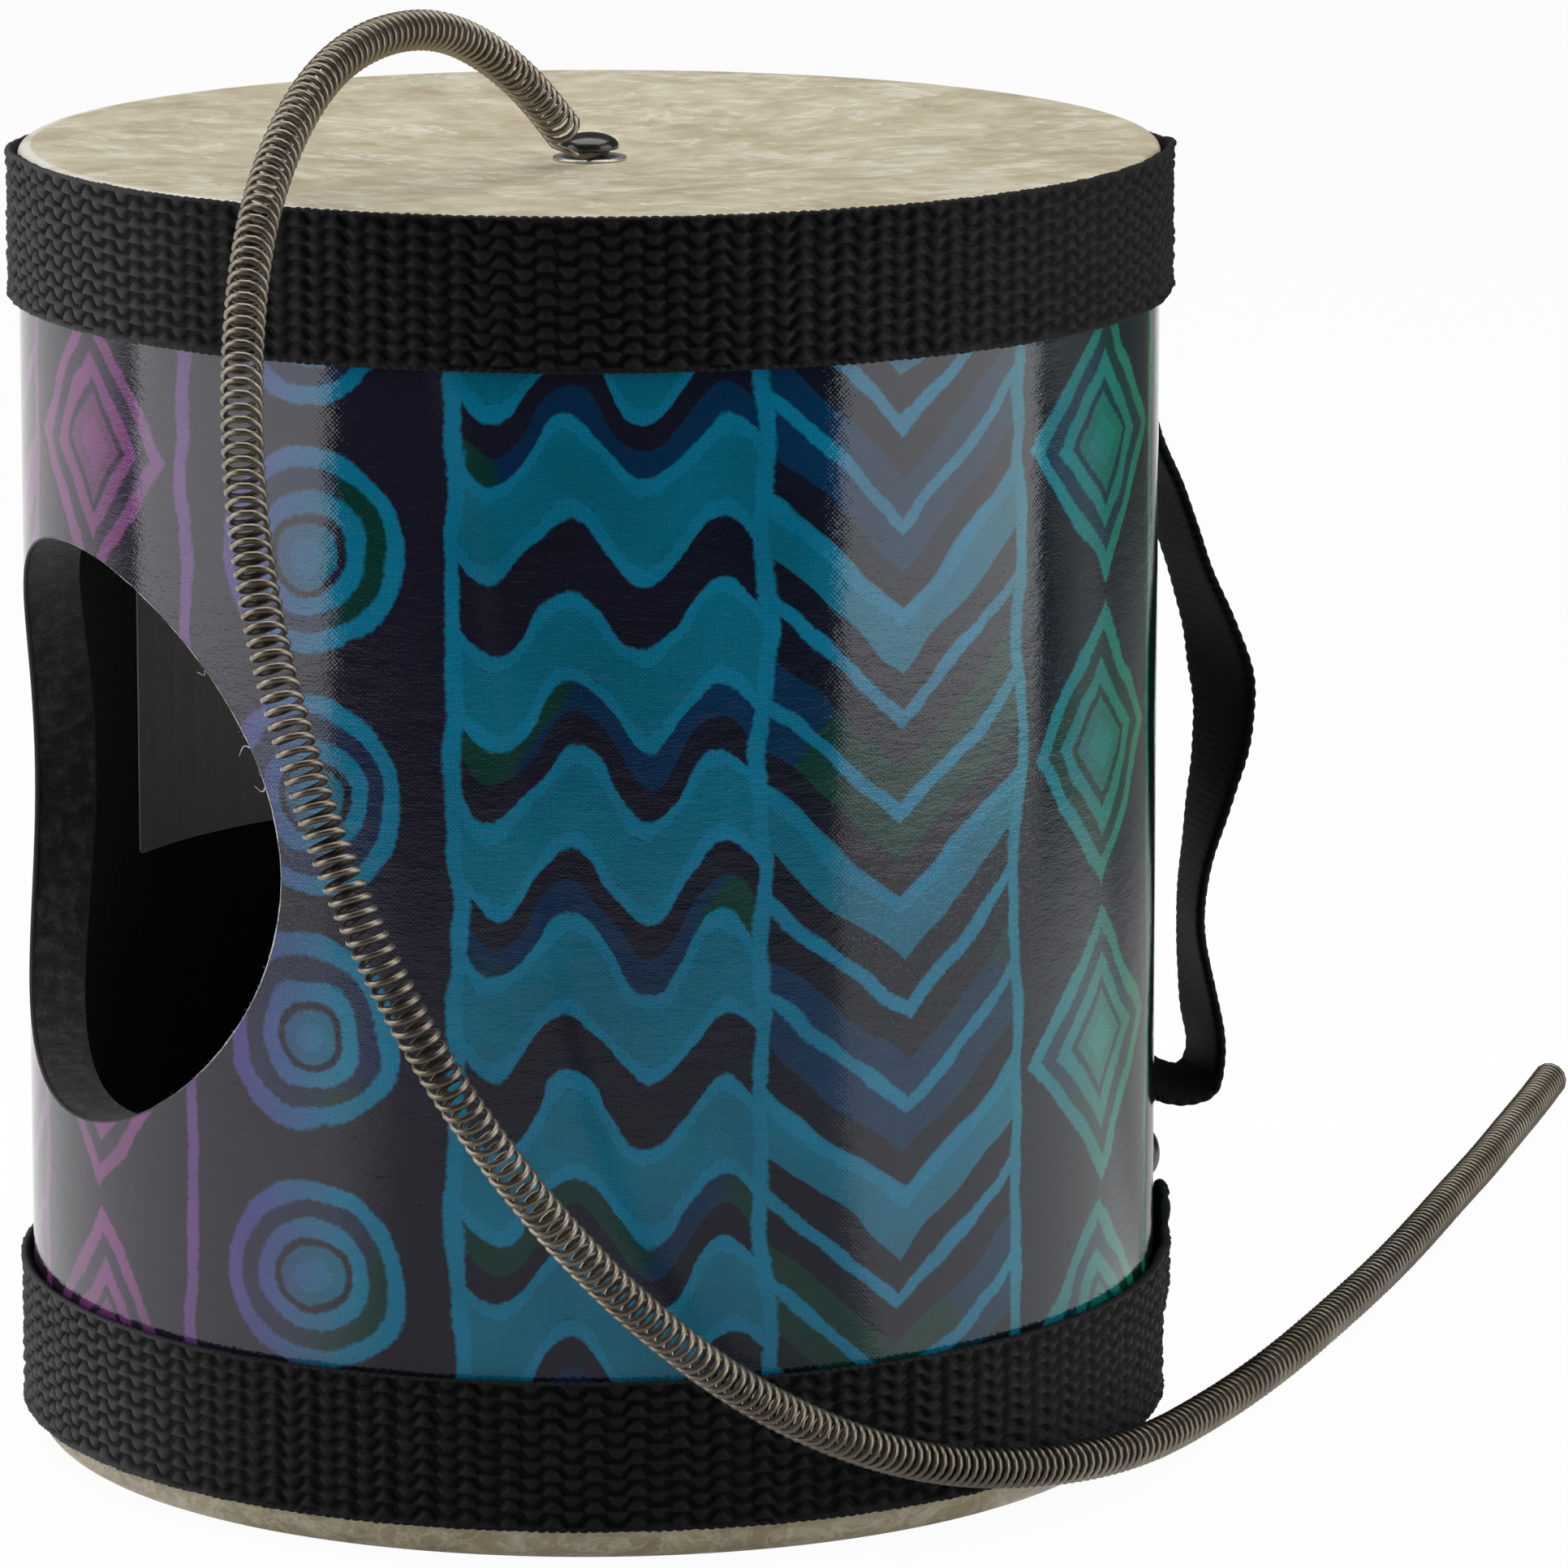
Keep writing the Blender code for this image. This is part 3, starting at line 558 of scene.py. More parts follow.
def fibre_material():
    """Black fibreboard, felt-like where it is cut."""
    g = Graph("black_fibreboard", Sheen_Weight=0.15)
    x, y, z = g.place()
    spread = g.vector(x, y, z)
    felt = g.noise(spread, 0.35, 6.0, 0.72)
    speck = g.noise(spread, 2.6, 2.0, 0.6)
    cut = hypot(x, y).ramp(80.3, 80.7)
    colour = g.stops(
        felt,
        (0.36, (0.007, 0.007, 0.007)), (0.50, (0.020, 0.0195, 0.019)),
        (0.64, (0.058, 0.057, 0.055)),
    )
    colour = g.mix(speck.ramp(0.62, 0.80) * 0.45, colour, (0.085, 0.083, 0.080))
    colour = g.mix(cut, (0.0180, 0.0178, 0.0175), colour)
    g.set(Base_Color=colour, Roughness=0.85 + speck * 0.15)
    g.bump(felt + speck * 0.5, 0.0004)
    return g.material


def edge_material():
    """The cloth's cut edge and its loose threads, where the undyed core shows."""
    g = Graph("cut_edge", Roughness=0.8)
    x, y, z = g.place()
    mottle = g.noise(g.vector(x, y, z), 0.9, 3.0, 0.7)
    # Darker along the front and top of the hole's edge
    darker_front_top = y.ramp(-15.0, -70.0) * z.ramp(62.0, 80.0)
    colour = g.stops(mottle, (0.30, (0.14, 0.13, 0.14)), (0.60, (0.62, 0.60, 0.61)))
    g.set(Base_Color=g.mix(darker_front_top, (0.045, 0.042, 0.045), colour))
    return g.material


def clouded_material(name, scale, detail, stops, rough, depth, **values):
    """A plain surface, clouded by one noise. rough is the least roughness and what noise adds."""
    g = Graph(name, **values)
    clouds = g.noise(g.vector(*g.place()), scale, detail, 0.6)
    g.set(Base_Color=g.stops(clouds, *stops), Roughness=rough[0] + clouds * rough[1])
    g.bump(clouds, depth)
    return g.material


PRINT = print_material()
FILM = film_material()
WEBBING = webbing_material("black_webbing", 0.20)
STRAP_WEBBING = webbing_material("strap_webbing", 0.07)
STEEL = spring_material("spring_steel", (0.225, 0.190, 0.146), (0.340, 0.300, 0.245), 0.30, 0.70)
# Painted shade: a darker steel for faces inside the coil and for the eye under the screw's head,
# lightened along the tail
SHADED_STEEL = spring_material(
    "spring_steel_painted_shade", (0.085, 0.068, 0.050), (0.140, 0.118, 0.092), 0.42, 1.60
)
SCREW_STOPS = ((0.35, (0.008, 0.008, 0.008)), (0.75, (0.022, 0.021, 0.020)))
ZINC_STOPS = ((0.30, (0.60, 0.58, 0.53)), (0.70, (0.78, 0.76, 0.70)))
PAPER_STOPS = ((0.30, (0.68, 0.66, 0.62)), (0.70, (0.80, 0.78, 0.74)))
SCREW_COAT = {"Coat_Weight": 0.5, "Coat_Roughness": 0.12}
BLACK = clouded_material("black_screw", 1.4, 3.0, SCREW_STOPS, (0.18, 0.14), 0.00002, **SCREW_COAT)
ZINC = clouded_material("zinc_plate", 0.9, 3.0, ZINC_STOPS, (0.28, 0.20), 0.00002, Metallic=1.0)
FIBRE = fibre_material()
EDGE = edge_material()
PAPER = clouded_material("label_paper", 0.8, 4.0, PAPER_STOPS, (0.6, 0.2), 0.00003)


def add_piece(name, points, faces, material, slot, body="drum", matrix=None, sharp=None):
    """A smooth-shaded mesh that rides on a body. Edges over sharp degrees stay sharp."""
    mesh = bpy.data.meshes.new(name)
    points = np.asarray(points, float)
    if matrix is not None:
        points = points @ np.array(matrix.to_3x3()).T + np.array(matrix.translation)
    mesh.from_pydata(points.tolist(), [], faces)
    mesh.polygons.foreach_set("use_smooth", [True] * len(mesh.polygons))
    if sharp is not None:
        mesh.set_sharp_from_angle(angle=math.radians(sharp))
    mesh.materials.append(material)
    mesh.update()
    piece = bpy.data.objects.new(name, mesh)
    bpy.context.scene.collection.objects.link(piece)
    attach(piece, body)
    return piece


def ring_faces(rings, count, start=0, closed=False):
    """Quads between rings of count points. Point j of ring i has the index start + i * count + j,
    and a closed run joins its last ring to its first."""
    faces = []
    for i in range(rings if closed else rings - 1):
        near, far = start + i * count, start + (i + 1) % rings * count
        for j in range(count):
            k = (j + 1) % count
            faces.append((near + j, near + k, far + k, far + j))
    return faces


def capped_faces(rings, count):
    """Faces of a tube of rings of points, its two ends covered."""
    last = (rings - 1) * count
    ends = [tuple(range(count)), tuple(range(last + count - 1, last - 1, -1))]
    return ring_faces(rings, count) + ends


def turned_over(faces):
    return [tuple(reversed(face)) for face in faces]


def carried(path, up):
    """Two directions across a path at each of its points, carried along it without twist."""
    tangent = unit(np.gradient(path, axis=0))
    side = np.cross(tangent[0], up)
    across = []
    for direction in tangent:
        side = unit(side - direction * side.dot(direction))
        across.append(side)
    return np.array(across), np.cross(tangent, across)


def tube(path, radii, sides):
    """A round tube along a path, with a radius for each point."""
    angles = np.linspace(0, 2 * math.pi, sides, endpoint=False)[:, None]
    rows = []
    for place, radius, side, other in zip(path, radii, *carried(path, (0.3, 0.2, 0.93))):
        rows.append(place + radius * (np.cos(angles) * side + np.sin(angles) * other))
    return np.concatenate(rows), capped_faces(len(path), sides)


def turned(name, profile, steps, material, slot, matrix=None, sharp=None, closed=False):
    """A body turned about Z from (r, z) points that run outward and down its outer side."""
    angles = np.linspace(0, 2 * math.pi, steps, endpoint=False)
    points = [(r * math.cos(a), r * math.sin(a), z) for a in angles for r, z in profile]
    count = len(profile)
    faces = []
    for i in range(steps):
        for j in range(count if closed else count - 1):
            k = (j + 1) % count
            n = (i + 1) % steps
            corners = [i * count + j, i * count + k, n * count + k, n * count + j]
            if profile[j][0] == 0:
                corners = [j, i * count + k, n * count + k]
            elif profile[k][0] == 0:
                corners = [i * count + j, k, n * count + j]
            faces.append(tuple(corners))
    used, index = np.unique(np.concatenate(faces), return_inverse=True)
    points = np.array(points)[used]
    sizes = np.cumsum([len(face) for face in faces])[:-1]
    faces = [tuple(int(v) for v in part) for part in np.split(index, sizes)]
    return add_piece(name, points, faces, material, slot, matrix=matrix, sharp=sharp)


def arc(centre, radius, start, end, steps=6):
    """Points of a profile's arc, between two angles in degrees."""
    angles = np.radians(np.linspace(start, end, steps + 1))
    return [(centre[0] + radius * math.cos(a), centre[1] + radius * math.sin(a)) for a in angles]


def hole_edge(radius, aside, rise):
    """Where the hole's edge cuts the line from its middle (0) to this azimuth and height (1)."""
    inside, outside = 0.0, 1.0
    for _ in range(BISECTIONS):
        t = (inside + outside) / 2
        wide = radius * math.sin(math.radians(t * aside))
        if (wide / HOLE_HALF_WIDE) ** 2 + (t * rise / HOLE_HALF_TALL) ** 2 < 1:
            inside = t
        else:
            outside = t
    return inside


def pierced_wall(radius, ends):
    """A round wall with the hand hole in it: points, outward faces, and the ring of the hole."""
    low, high = HOLE_LEVEL - PATCH_HALF_TALL, HOLE_LEVEL + PATCH_HALF_TALL
    below = ends[0] + (low - ends[0]) * np.linspace(0, 1, FAR_LEVELS) ** FAR_CROWD
    above = ends[1] - (ends[1] - high) * np.linspace(1, 0, FAR_LEVELS) ** FAR_CROWD
    levels = np.concatenate([below[:-1], np.linspace(low, high, PATCH_LEVELS), above[1:]])
    columns = np.arange(-PATCH_HALF, 360 - PATCH_HALF, PATCH_STEP)
    wide, tall = int(2 * PATCH_HALF / PATCH_STEP), len(levels)
    first = FAR_LEVELS - 1
    last = first + PATCH_LEVELS - 1

    def index(i, j):
        return i % len(columns) * tall + j

    flat = [(a, z) for a in columns for z in levels]
    faces = []
    for i in range(len(columns)):
        for j in range(tall - 1):
            if not (i < wide and first <= j < last):
                corners = ((i, j), (i + 1, j), (i + 1, j + 1), (i, j + 1))
                faces.append(tuple(index(*corner) for corner in corners))

    # Rings lead from the hole's edge out to the edge of the patch
    edge = [(i, first) for i in range(wide)] + [(wide, j) for j in range(first, last)]
    edge += [(i, last) for i in range(wide, 0, -1)] + [(0, j) for j in range(last, first, -1)]
    spokes = [(columns[i], levels[j] - HOLE_LEVEL) for i, j in edge]
    cuts = [hole_edge(radius, aside, rise) for aside, rise in spokes]
    rings = []
    for share in HOLE_RINGS:
        rings.append(list(range(len(flat), len(flat) + len(edge))))
        for (aside, rise), cut in zip(spokes, cuts):
            t = cut + (1 - cut) * share
            flat.append((t * aside, HOLE_LEVEL + t * rise))
    rings.append([index(i, j) for i, j in edge])
    for near, far in zip(rings, rings[1:]):
        for n in range(len(edge)):
            m = (n + 1) % len(edge)
            faces.append((near[n], far[n], far[m], near[m]))

    points = np.array([azimuth_point(radius, HOLE_AZIMUTH + a, z) for a, z in flat])
    used, index_of = np.unique(np.array(faces), return_inverse=True)
    place = {int(old): new for new, old in enumerate(used)}
    ring = [place[n] for n in rings[0]]
    return points[used], [tuple(int(v) for v in face) for face in index_of.reshape(-1, 4)], ring


def make_cover():
    """The printed cover. Returns the points round its hole."""
    points, faces, ring = pierced_wall(COVER_RADIUS, COVER_ENDS)
    cover = add_piece("printed_cover", points, faces, PRINT, "cloth")
    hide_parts("shell_cover")
    return points[ring]


def make_tube():
    """The fibreboard tube: outside, inside, and the rough cut wall of the hole."""
    points, faces, ring = pierced_wall(SHELL_RADIUS, SHELL_ENDS)
    inner, inner_faces, inner_ring = pierced_wall(SHELL_BORE, SHELL_ENDS)

    # Its ends are rounded, to stay under the bends of the film
    layer = FILM_RADIUS - SHELL_RADIUS
    for edge, sunk in ((BOTTOM_EDGE, points[:, 2]), (TOP_EDGE, DRUM_HEIGHT - points[:, 2])):
        over = np.clip(edge - sunk, 0, edge - layer)
        ease = edge - layer - np.sqrt((edge - layer) ** 2 - over**2)
        points[:, :2] *= (1 - ease / SHELL_RADIUS)[:, None]

    wall = []
    chance = np.random.default_rng(5)
    for k in range(CUT_LAYERS + 1):
        share = k / CUT_LAYERS
        row = points[ring] * (1 - share) + inner[inner_ring] * share
        if 0 < k < CUT_LAYERS:
            outward = (row - row.mean(axis=0)) / HOLE_SIZE
            row = row + outward * chance.uniform(-CUT_ROUGHNESS, CUT_ROUGHNESS, (len(row), 1))
        wall.append(row)
    start = len(points) + len(inner)
    everything = np.concatenate([points, inner, *wall])
    faces += [tuple(n + len(points) for n in face) for face in turned_over(inner_faces)]
    faces += turned_over(ring_faces(CUT_LAYERS + 1, len(ring), start))
    shell = add_piece("fibre_tube", everything, faces, FIBRE, "fibreboard", sharp=50)
    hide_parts("shell")


def make_cut_edge(rim):
    """The cover's cut edge round the hole, with short loose fibres and a few longer threads."""
    count = len(rim)
    out = unit(rim * np.array((1, 1, 0)))
    inward = np.array(azimuth_point(COVER_RADIUS, HOLE_AZIMUTH, HOLE_LEVEL)) - rim
    inward = unit(inward - out * (inward * out).sum(axis=1)[:, None])
    chance = np.random.default_rng(11)
    rough = chance.uniform(0.4, 1.0, (count, 1))
    face = rim - inward * 0.00015 + out * 0.00006
    lip = rim + inward * 0.00022 * rough - out * 0.00010
    back = rim + inward * 0.00010 * rough - out * COVER_THICKNESS
    under = rim - out * (COVER_THICKNESS + 0.0003) - inward * 0.0002
    points = [face, lip, back, under]
    faces = ring_faces(4, count)
    total = 4 * count
    for _ in range(FIBRES):
        i = chance.integers(count)
        step = rim[(i + 1) % count] - rim[i]
        base = lip[i] + step * chance.uniform(0, 1)
        long = chance.uniform(*FIBRE_LENGTHS)
        side = unit(step)
        lean = inward[i] + side * chance.normal(0, 0.7) + out[i] * chance.normal(0, 0.5)
        foot = [base + way * FIBRE_RADIUS for way in (side, -side, out[i])]
        points.append(np.array([*foot, base + lean * long]))
        faces += [(total + a, total + b, total + 3) for a, b in ((0, 1), (1, 2), (2, 0))]
        total += 4
    add_piece("cover_cut_edge", np.concatenate(points), faces, EDGE, "cloth")

    steps = np.linspace(0, 1, THREAD_POINTS)[:, None]
    for number, (level, long, curl) in enumerate(LOOSE_THREADS):
        i = min(range(count), key=lambda n: abs(rim[n][2] - level))
        side = np.cross(out[i], inward[i])
        path = rim[i] + inward[i] * long * steps + out[i] * 0.0005 * steps
        path = path + side * curl * 0.0006 * np.sin(steps * 4.2)
        points, faces = tube(path, np.linspace(*THREAD_RADII, THREAD_POINTS), 5)
        add_piece(f"loose_thread_{number}", points, faces, EDGE, "cloth")


def make_heads():
    """The two films: the top one drawn in by the spring's clamp, and a skirt on each."""
    rings = np.linspace(CLAMP_RADIUS, SHELL_BORE, DISH_RINGS)
    share = (rings - CLAMP_RADIUS) / (SHELL_BORE - CLAMP_RADIUS)
    levels = DRUM_HEIGHT - HEAD_DISH * (1 - share) ** DISH_POWER + CLAMP_LIFT * (1 - share) ** 8
    profile = [(SHANK_HOLE, float(levels[0]))]
    profile += [(float(r), float(z)) for r, z in zip(rings, levels)]
    profile += [(r, DRUM_HEIGHT) for r in TOP_RINGS]
    profile += arc((FILM_RADIUS - TOP_EDGE, DRUM_HEIGHT - TOP_EDGE), TOP_EDGE, 90, 0)
    profile += [(FILM_RADIUS, DRUM_HEIGHT - FILM_SKIRT)]
    top = turned("top_film", profile, HEAD_STEPS, FILM, "film")
    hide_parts("top_head")
    profile = [(FILM_RADIUS, FILM_SKIRT)]
    profile += arc((FILM_RADIUS - BOTTOM_EDGE, BOTTOM_EDGE), BOTTOM_EDGE, 0, -90, 10)
    profile += [(r, 0.0) for r in BOTTOM_RINGS] + [(0, 0.0)]
    bottom = turned("bottom_film", profile, HEAD_STEPS, FILM, "film")
    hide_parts("bottom_head")


def knot_relief(along, up, plump, stray):
    """Relief of the bands' webbing, 0 to 1: knots that widen upward in one column and downward in
    the next. plump sizes each knot, and stray shifts it."""
    place = along / COLUMN + 0 * up
    relief = np.zeros_like(place)
    for odd in (0, 1):
        column = 2 * np.round((place - odd) / 2) + odd
        which = column.astype(int) % BAND_COLUMNS
        lift = up / ROW - 0.40 * odd + 0.70 + stray[0, which]
        size = plump[which, np.floor(lift).astype(int) % KNOT_ROWS]
        rise = np.clip(lift % 1 / 0.80, 0, 1)
        taper = rise if odd else 1 - rise
        wide = 0.16 + 0.46 * taper
        aside = place - column - stray[1, which] * 0.5 - 0.24 * (size - 0.86)
        body = np.clip(1 - (aside / wide) ** 2, 0, 1) ** 0.36 * (4 * rise * (1 - rise)) ** 0.28
        relief = np.maximum(relief, body * (0.70 + 0.30 * taper) * size)
    return relief


def swell(angle, middle, half, power):
    """1 round this azimuth, falling to 0 at about half degrees from it."""
    return np.exp(-(((np.degrees(angle) - middle) / half) ** power))


def make_band(name, seed):
    """A band of chunky webbing with a lumpy cord along each edge. At the right its ends lap, and
    the top band's upper edge is sunk behind."""
    bottom = BAND_BOTTOMS[name]
    around = BAND_COLUMNS * COLUMN_POINTS
    chance = np.random.default_rng(seed)
    plump = chance.uniform(0.72, 1.0, (BAND_COLUMNS, KNOT_ROWS))
    stray = chance.uniform(-0.14, 0.14, (2, BAND_COLUMNS))
    lumps = chance.uniform(0.4, 1.0, 2 * BAND_COLUMNS)
    angle = np.linspace(0, 2 * math.pi, around, endpoint=False)[:, None]
    along = angle * BAND_OUT
    up = np.linspace(CORD_TALL, BAND_WIDTH - CORD_TALL, FACE_POINTS)[None, :]
    lump = np.abs(np.cos(2 * math.pi * along / COLUMN)) ** 0.7
    lump = lump * np.repeat(lumps, COLUMN_POINTS // 2)[:, None]
    bulge = 0.50 + 0.50 * lump
    inside = np.clip((np.minimum(up, BAND_WIDTH - up) - CORD_TALL) / CORD_BLEND, 0, 1)
    face = BAND_OUT - KNOT_RELIEF + knot_relief(along, up, plump, stray) * KNOT_RELIEF
    face = face * inside + (CORD_MIDDLE + CORD_THICK * bulge) * (1 - inside)
    bend = np.radians(np.linspace(0, 180, EDGE_POINTS + 1)[1:])[None, :]
    top = BAND_WIDTH - CORD_TALL + CORD_TALL * bulge * np.sin(bend)
    base = CORD_TALL - CORD_TALL * bulge * np.sin(bend[:, ::-1])
    cord = CORD_MIDDLE + CORD_THICK * bulge * np.cos(bend)
    radius = np.concatenate([face, cord, cord[:, ::-1]], axis=1)
    level = np.concatenate([up + 0 * angle, top, base], axis=1) / BAND_WIDTH
    if name == "top":
        behind = np.clip((0.22 - np.cos(angle)) / 0.50, 0, 1) ** 0.8
        lap = swell(angle, 91, 4.5, 4)
        radius += TOP_LAP * lap
        wide = BAND_WIDTH + BAND_SPREAD * (1 - 2.4 * behind) + TOP_LAP * lap
        level = bottom + level * wide
    else:
        # The lap fades out in the lower half, which the spring passes close by
        lap = swell(angle, 98, 12.5, 8)
        end = swell(angle, 96, 3.2, 6)
        upper = np.clip((level - 0.45) / 0.2, 0, 1)
        radius += (BOTTOM_LAP_OUT * lap + BOTTOM_END_OUT * end) * upper
        rise = BAND_WIDTH + BOTTOM_END_UP * end * level
        level = bottom + rise - (1 - level) * (BAND_WIDTH + BAND_SPREAD)
    points = np.stack([radius * np.sin(angle), -radius * np.cos(angle), level], axis=2)
    faces = turned_over(ring_faces(around, FACE_POINTS + 2 * EDGE_POINTS, closed=True))
    band = add_piece(f"{name}_webbing", points.reshape(-1, 3), faces, WEBBING, "webbing")
    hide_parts(f"{name}_band")


def distances(points):
    """Each point's distance along the line through them all. Only x, y and z count."""
    steps = np.linalg.norm(np.diff(points[:, :3], axis=0), axis=1)
    return np.concatenate([[0], np.cumsum(steps)])


def smooth_curve(points, count):
    """Points at even distances along a natural cubic spline, all columns splined alike."""
    knots = np.array(points, float)
    along = distances(knots)
    step = np.diff(along)
    system = np.eye(len(knots))
    right = np.zeros_like(knots)
    for i in range(1, len(knots) - 1):
        system[i, i - 1 : i + 2] = step[i - 1], 2 * (step[i - 1] + step[i]), step[i]
        ahead, back = (knots[i + 1] - knots[i]) / step[i], (knots[i] - knots[i - 1]) / step[i - 1]
        right[i] = 6 * (ahead - back)
    bend = np.linalg.solve(system, right)
    fine = np.linspace(0, along[-1], 20 * count)
    i = np.clip(np.searchsorted(along, fine) - 1, 0, len(step) - 1)
    h = step[i][:, None]
    a = (along[i + 1] - fine)[:, None]
    b = (fine - along[i])[:, None]
    curve = (bend[i] * a**3 + bend[i + 1] * b**3) / (6 * h)
    curve += (knots[i] / h - bend[i] * h / 6) * a + (knots[i + 1] / h - bend[i + 1] * h / 6) * b
    lengths = distances(curve)
    even = np.linspace(0, lengths[-1], count)
    return np.stack([np.interp(even, lengths, column) for column in curve.T], axis=1), lengths[-1]


def make_strap():
    """The hand strap: flat ribbed webbing with scalloped edges, swept along its loop and fold."""
    drop = UPPER_SCREW - LOWER_SCREW
    stations = [(0, UPPER_SCREW + TAB_END, 0), (0, UPPER_SCREW, 0)]
    stations += [(out, UPPER_SCREW - share * drop, turn) for out, share, turn in STRAP_LOOP]
    stations += [(out, LOWER_SCREW + over, turn) for out, over, turn in STRAP_FOLD]
    stations += [(0, LOWER_SCREW, 0), (0, LOWER_SCREW - TAB_END, 0)]
    stations = [(TAB_OUT + out, 0, level, math.radians(turn)) for out, level, turn in stations]
    line, length = smooth_curve(stations, STRAP_STATIONS)
    along = np.linspace(0, length, len(line))
    direction = unit(np.gradient(line[:, :3], axis=0))
    half_wide, half_thick = STRAP_WIDTH / 2, STRAP_THICKNESS / 2

    # One ring of points: across the outer face, then back across the inner one
    flat = np.array((0, 1, 0))
    across = np.concatenate([np.linspace(-1, 1, STRAP_POINTS), np.linspace(1, -1, STRAP_POINTS)])
    sign = np.repeat((1, -1), STRAP_POINTS)
    edge = 0.25 + 0.75 * np.clip((1 - np.abs(across)) / 0.16, 0, 1) ** 0.5
    groove = -RIB_RELIEF * np.exp(-((np.abs(across) - 0.80) ** 2) / 0.0012)
    rows = []
    for place, way, far in zip(line, direction, along):
        normal = np.cross(flat, way)
        turn = -place[3]
        wide = flat * math.cos(turn) + normal * math.sin(turn)
        thick = normal * math.cos(turn) - flat * math.sin(turn)
        scallop = SCALLOP_DEPTH * abs(math.sin(math.pi * far / SCALLOP_PITCH))
        sway = STRAP_SWAY * (math.sin(far / 0.0041) + 0.8 * math.sin(far / 0.0019 + 1))
        reach = half_wide - 0.0006 + scallop + sway
        rib = math.sin(2 * math.pi * far / RIB_PITCH)
        weave = rib * (RIB_RELIEF * np.cos(across * RIBS_ACROSS * math.pi) + 0.00002)
        rise = (half_thick - RIB_RELIEF + weave + groove) * edge
        rows.append(place[:3] + across[:, None] * reach * wide + (sign * rise)[:, None] * thick)

    # Near the shell the strap is bent round it
    rows = np.array(rows)
    out, side = rows[:, :, 0].copy(), rows[:, :, 1].copy()
    share = 1 - np.clip((out - TAB_OUT - half_thick) / STRAP_WRAP_FADE, 0, 1)
    rows[:, :, 0] += share * out * (np.cos(side / out) - 1)
    rows[:, :, 1] += share * (out * np.sin(side / out) - side)
    points, faces = np.concatenate(rows), capped_faces(len(rows), len(across))
    look = {"matrix": STRAP_TURN, "sharp": 70}
    strap = add_piece("webbing_strap", points, faces, STRAP_WEBBING, "webbing", **look)
    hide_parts("hand_strap")


def dome(name, radius, tall, rim, under, matrix, node):
    """A screw's round head and its shank. The head's underside is at under."""
    lean = np.linspace(0, math.pi / 2, 15)[1:-1]
    profile = [(0, under + tall)]
    profile += [(radius * math.sin(a), under + rim + (tall - rim) * math.cos(a)) for a in lean]
    profile += [(radius, under + rim), (radius, under + BEVEL), (radius - BEVEL, under)]
    profile += [(SHANK_RADIUS, under), (SHANK_RADIUS, under - SHANK_LENGTH)]
    head = turned(name, profile, 48, BLACK, "black_screw", matrix=matrix, sharp=40)
    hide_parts(node)


def make_fasteners():
    """The anchor's screw and washer and the strap's screws. What is inside stays as in the CAD."""
    under = EYE_LEVEL + WIRE_RADIUS + ANCHOR_GAP
    dome("anchor_screw", *ANCHOR_HEAD, under, Matrix.Identity(4), "spring_screw")
    low, high = WASHER_LEVELS
    ring = [(SHANK_HOLE, high), (0.0056, high), (0.00575, high - BEVEL), (0.0058, high - 0.00025)]
    ring += [(0.00575, low + BEVEL), (0.0056, low), (SHANK_HOLE, low)]
    washer = turned("anchor_washer", ring, 64, ZINC, "zinc", sharp=50, closed=True)
    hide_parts("spring_washer")
    for name, level in (("upper", UPPER_SCREW), ("lower", LOWER_SCREW)):
        turn = STRAP_TURN @ Matrix.Rotation(math.pi / 2, 4, "Y")
        turn = Matrix.Translation((0, 0, level)) @ turn
        out = TAB_OUT + STRAP_THICKNESS / 2 + STRAP_GAP - STRAP_PRESSED[name]
        dome(f"{name}_screw", *STRAP_HEAD, out, turn, f"{name}_strap_screw")
    for material, names in ((ZINC, ZINC_NODES), (PAPER, ["inner_label"])):
        for name in names:
            nodes[name].data.materials.clear()
            nodes[name].data.materials.append(material)


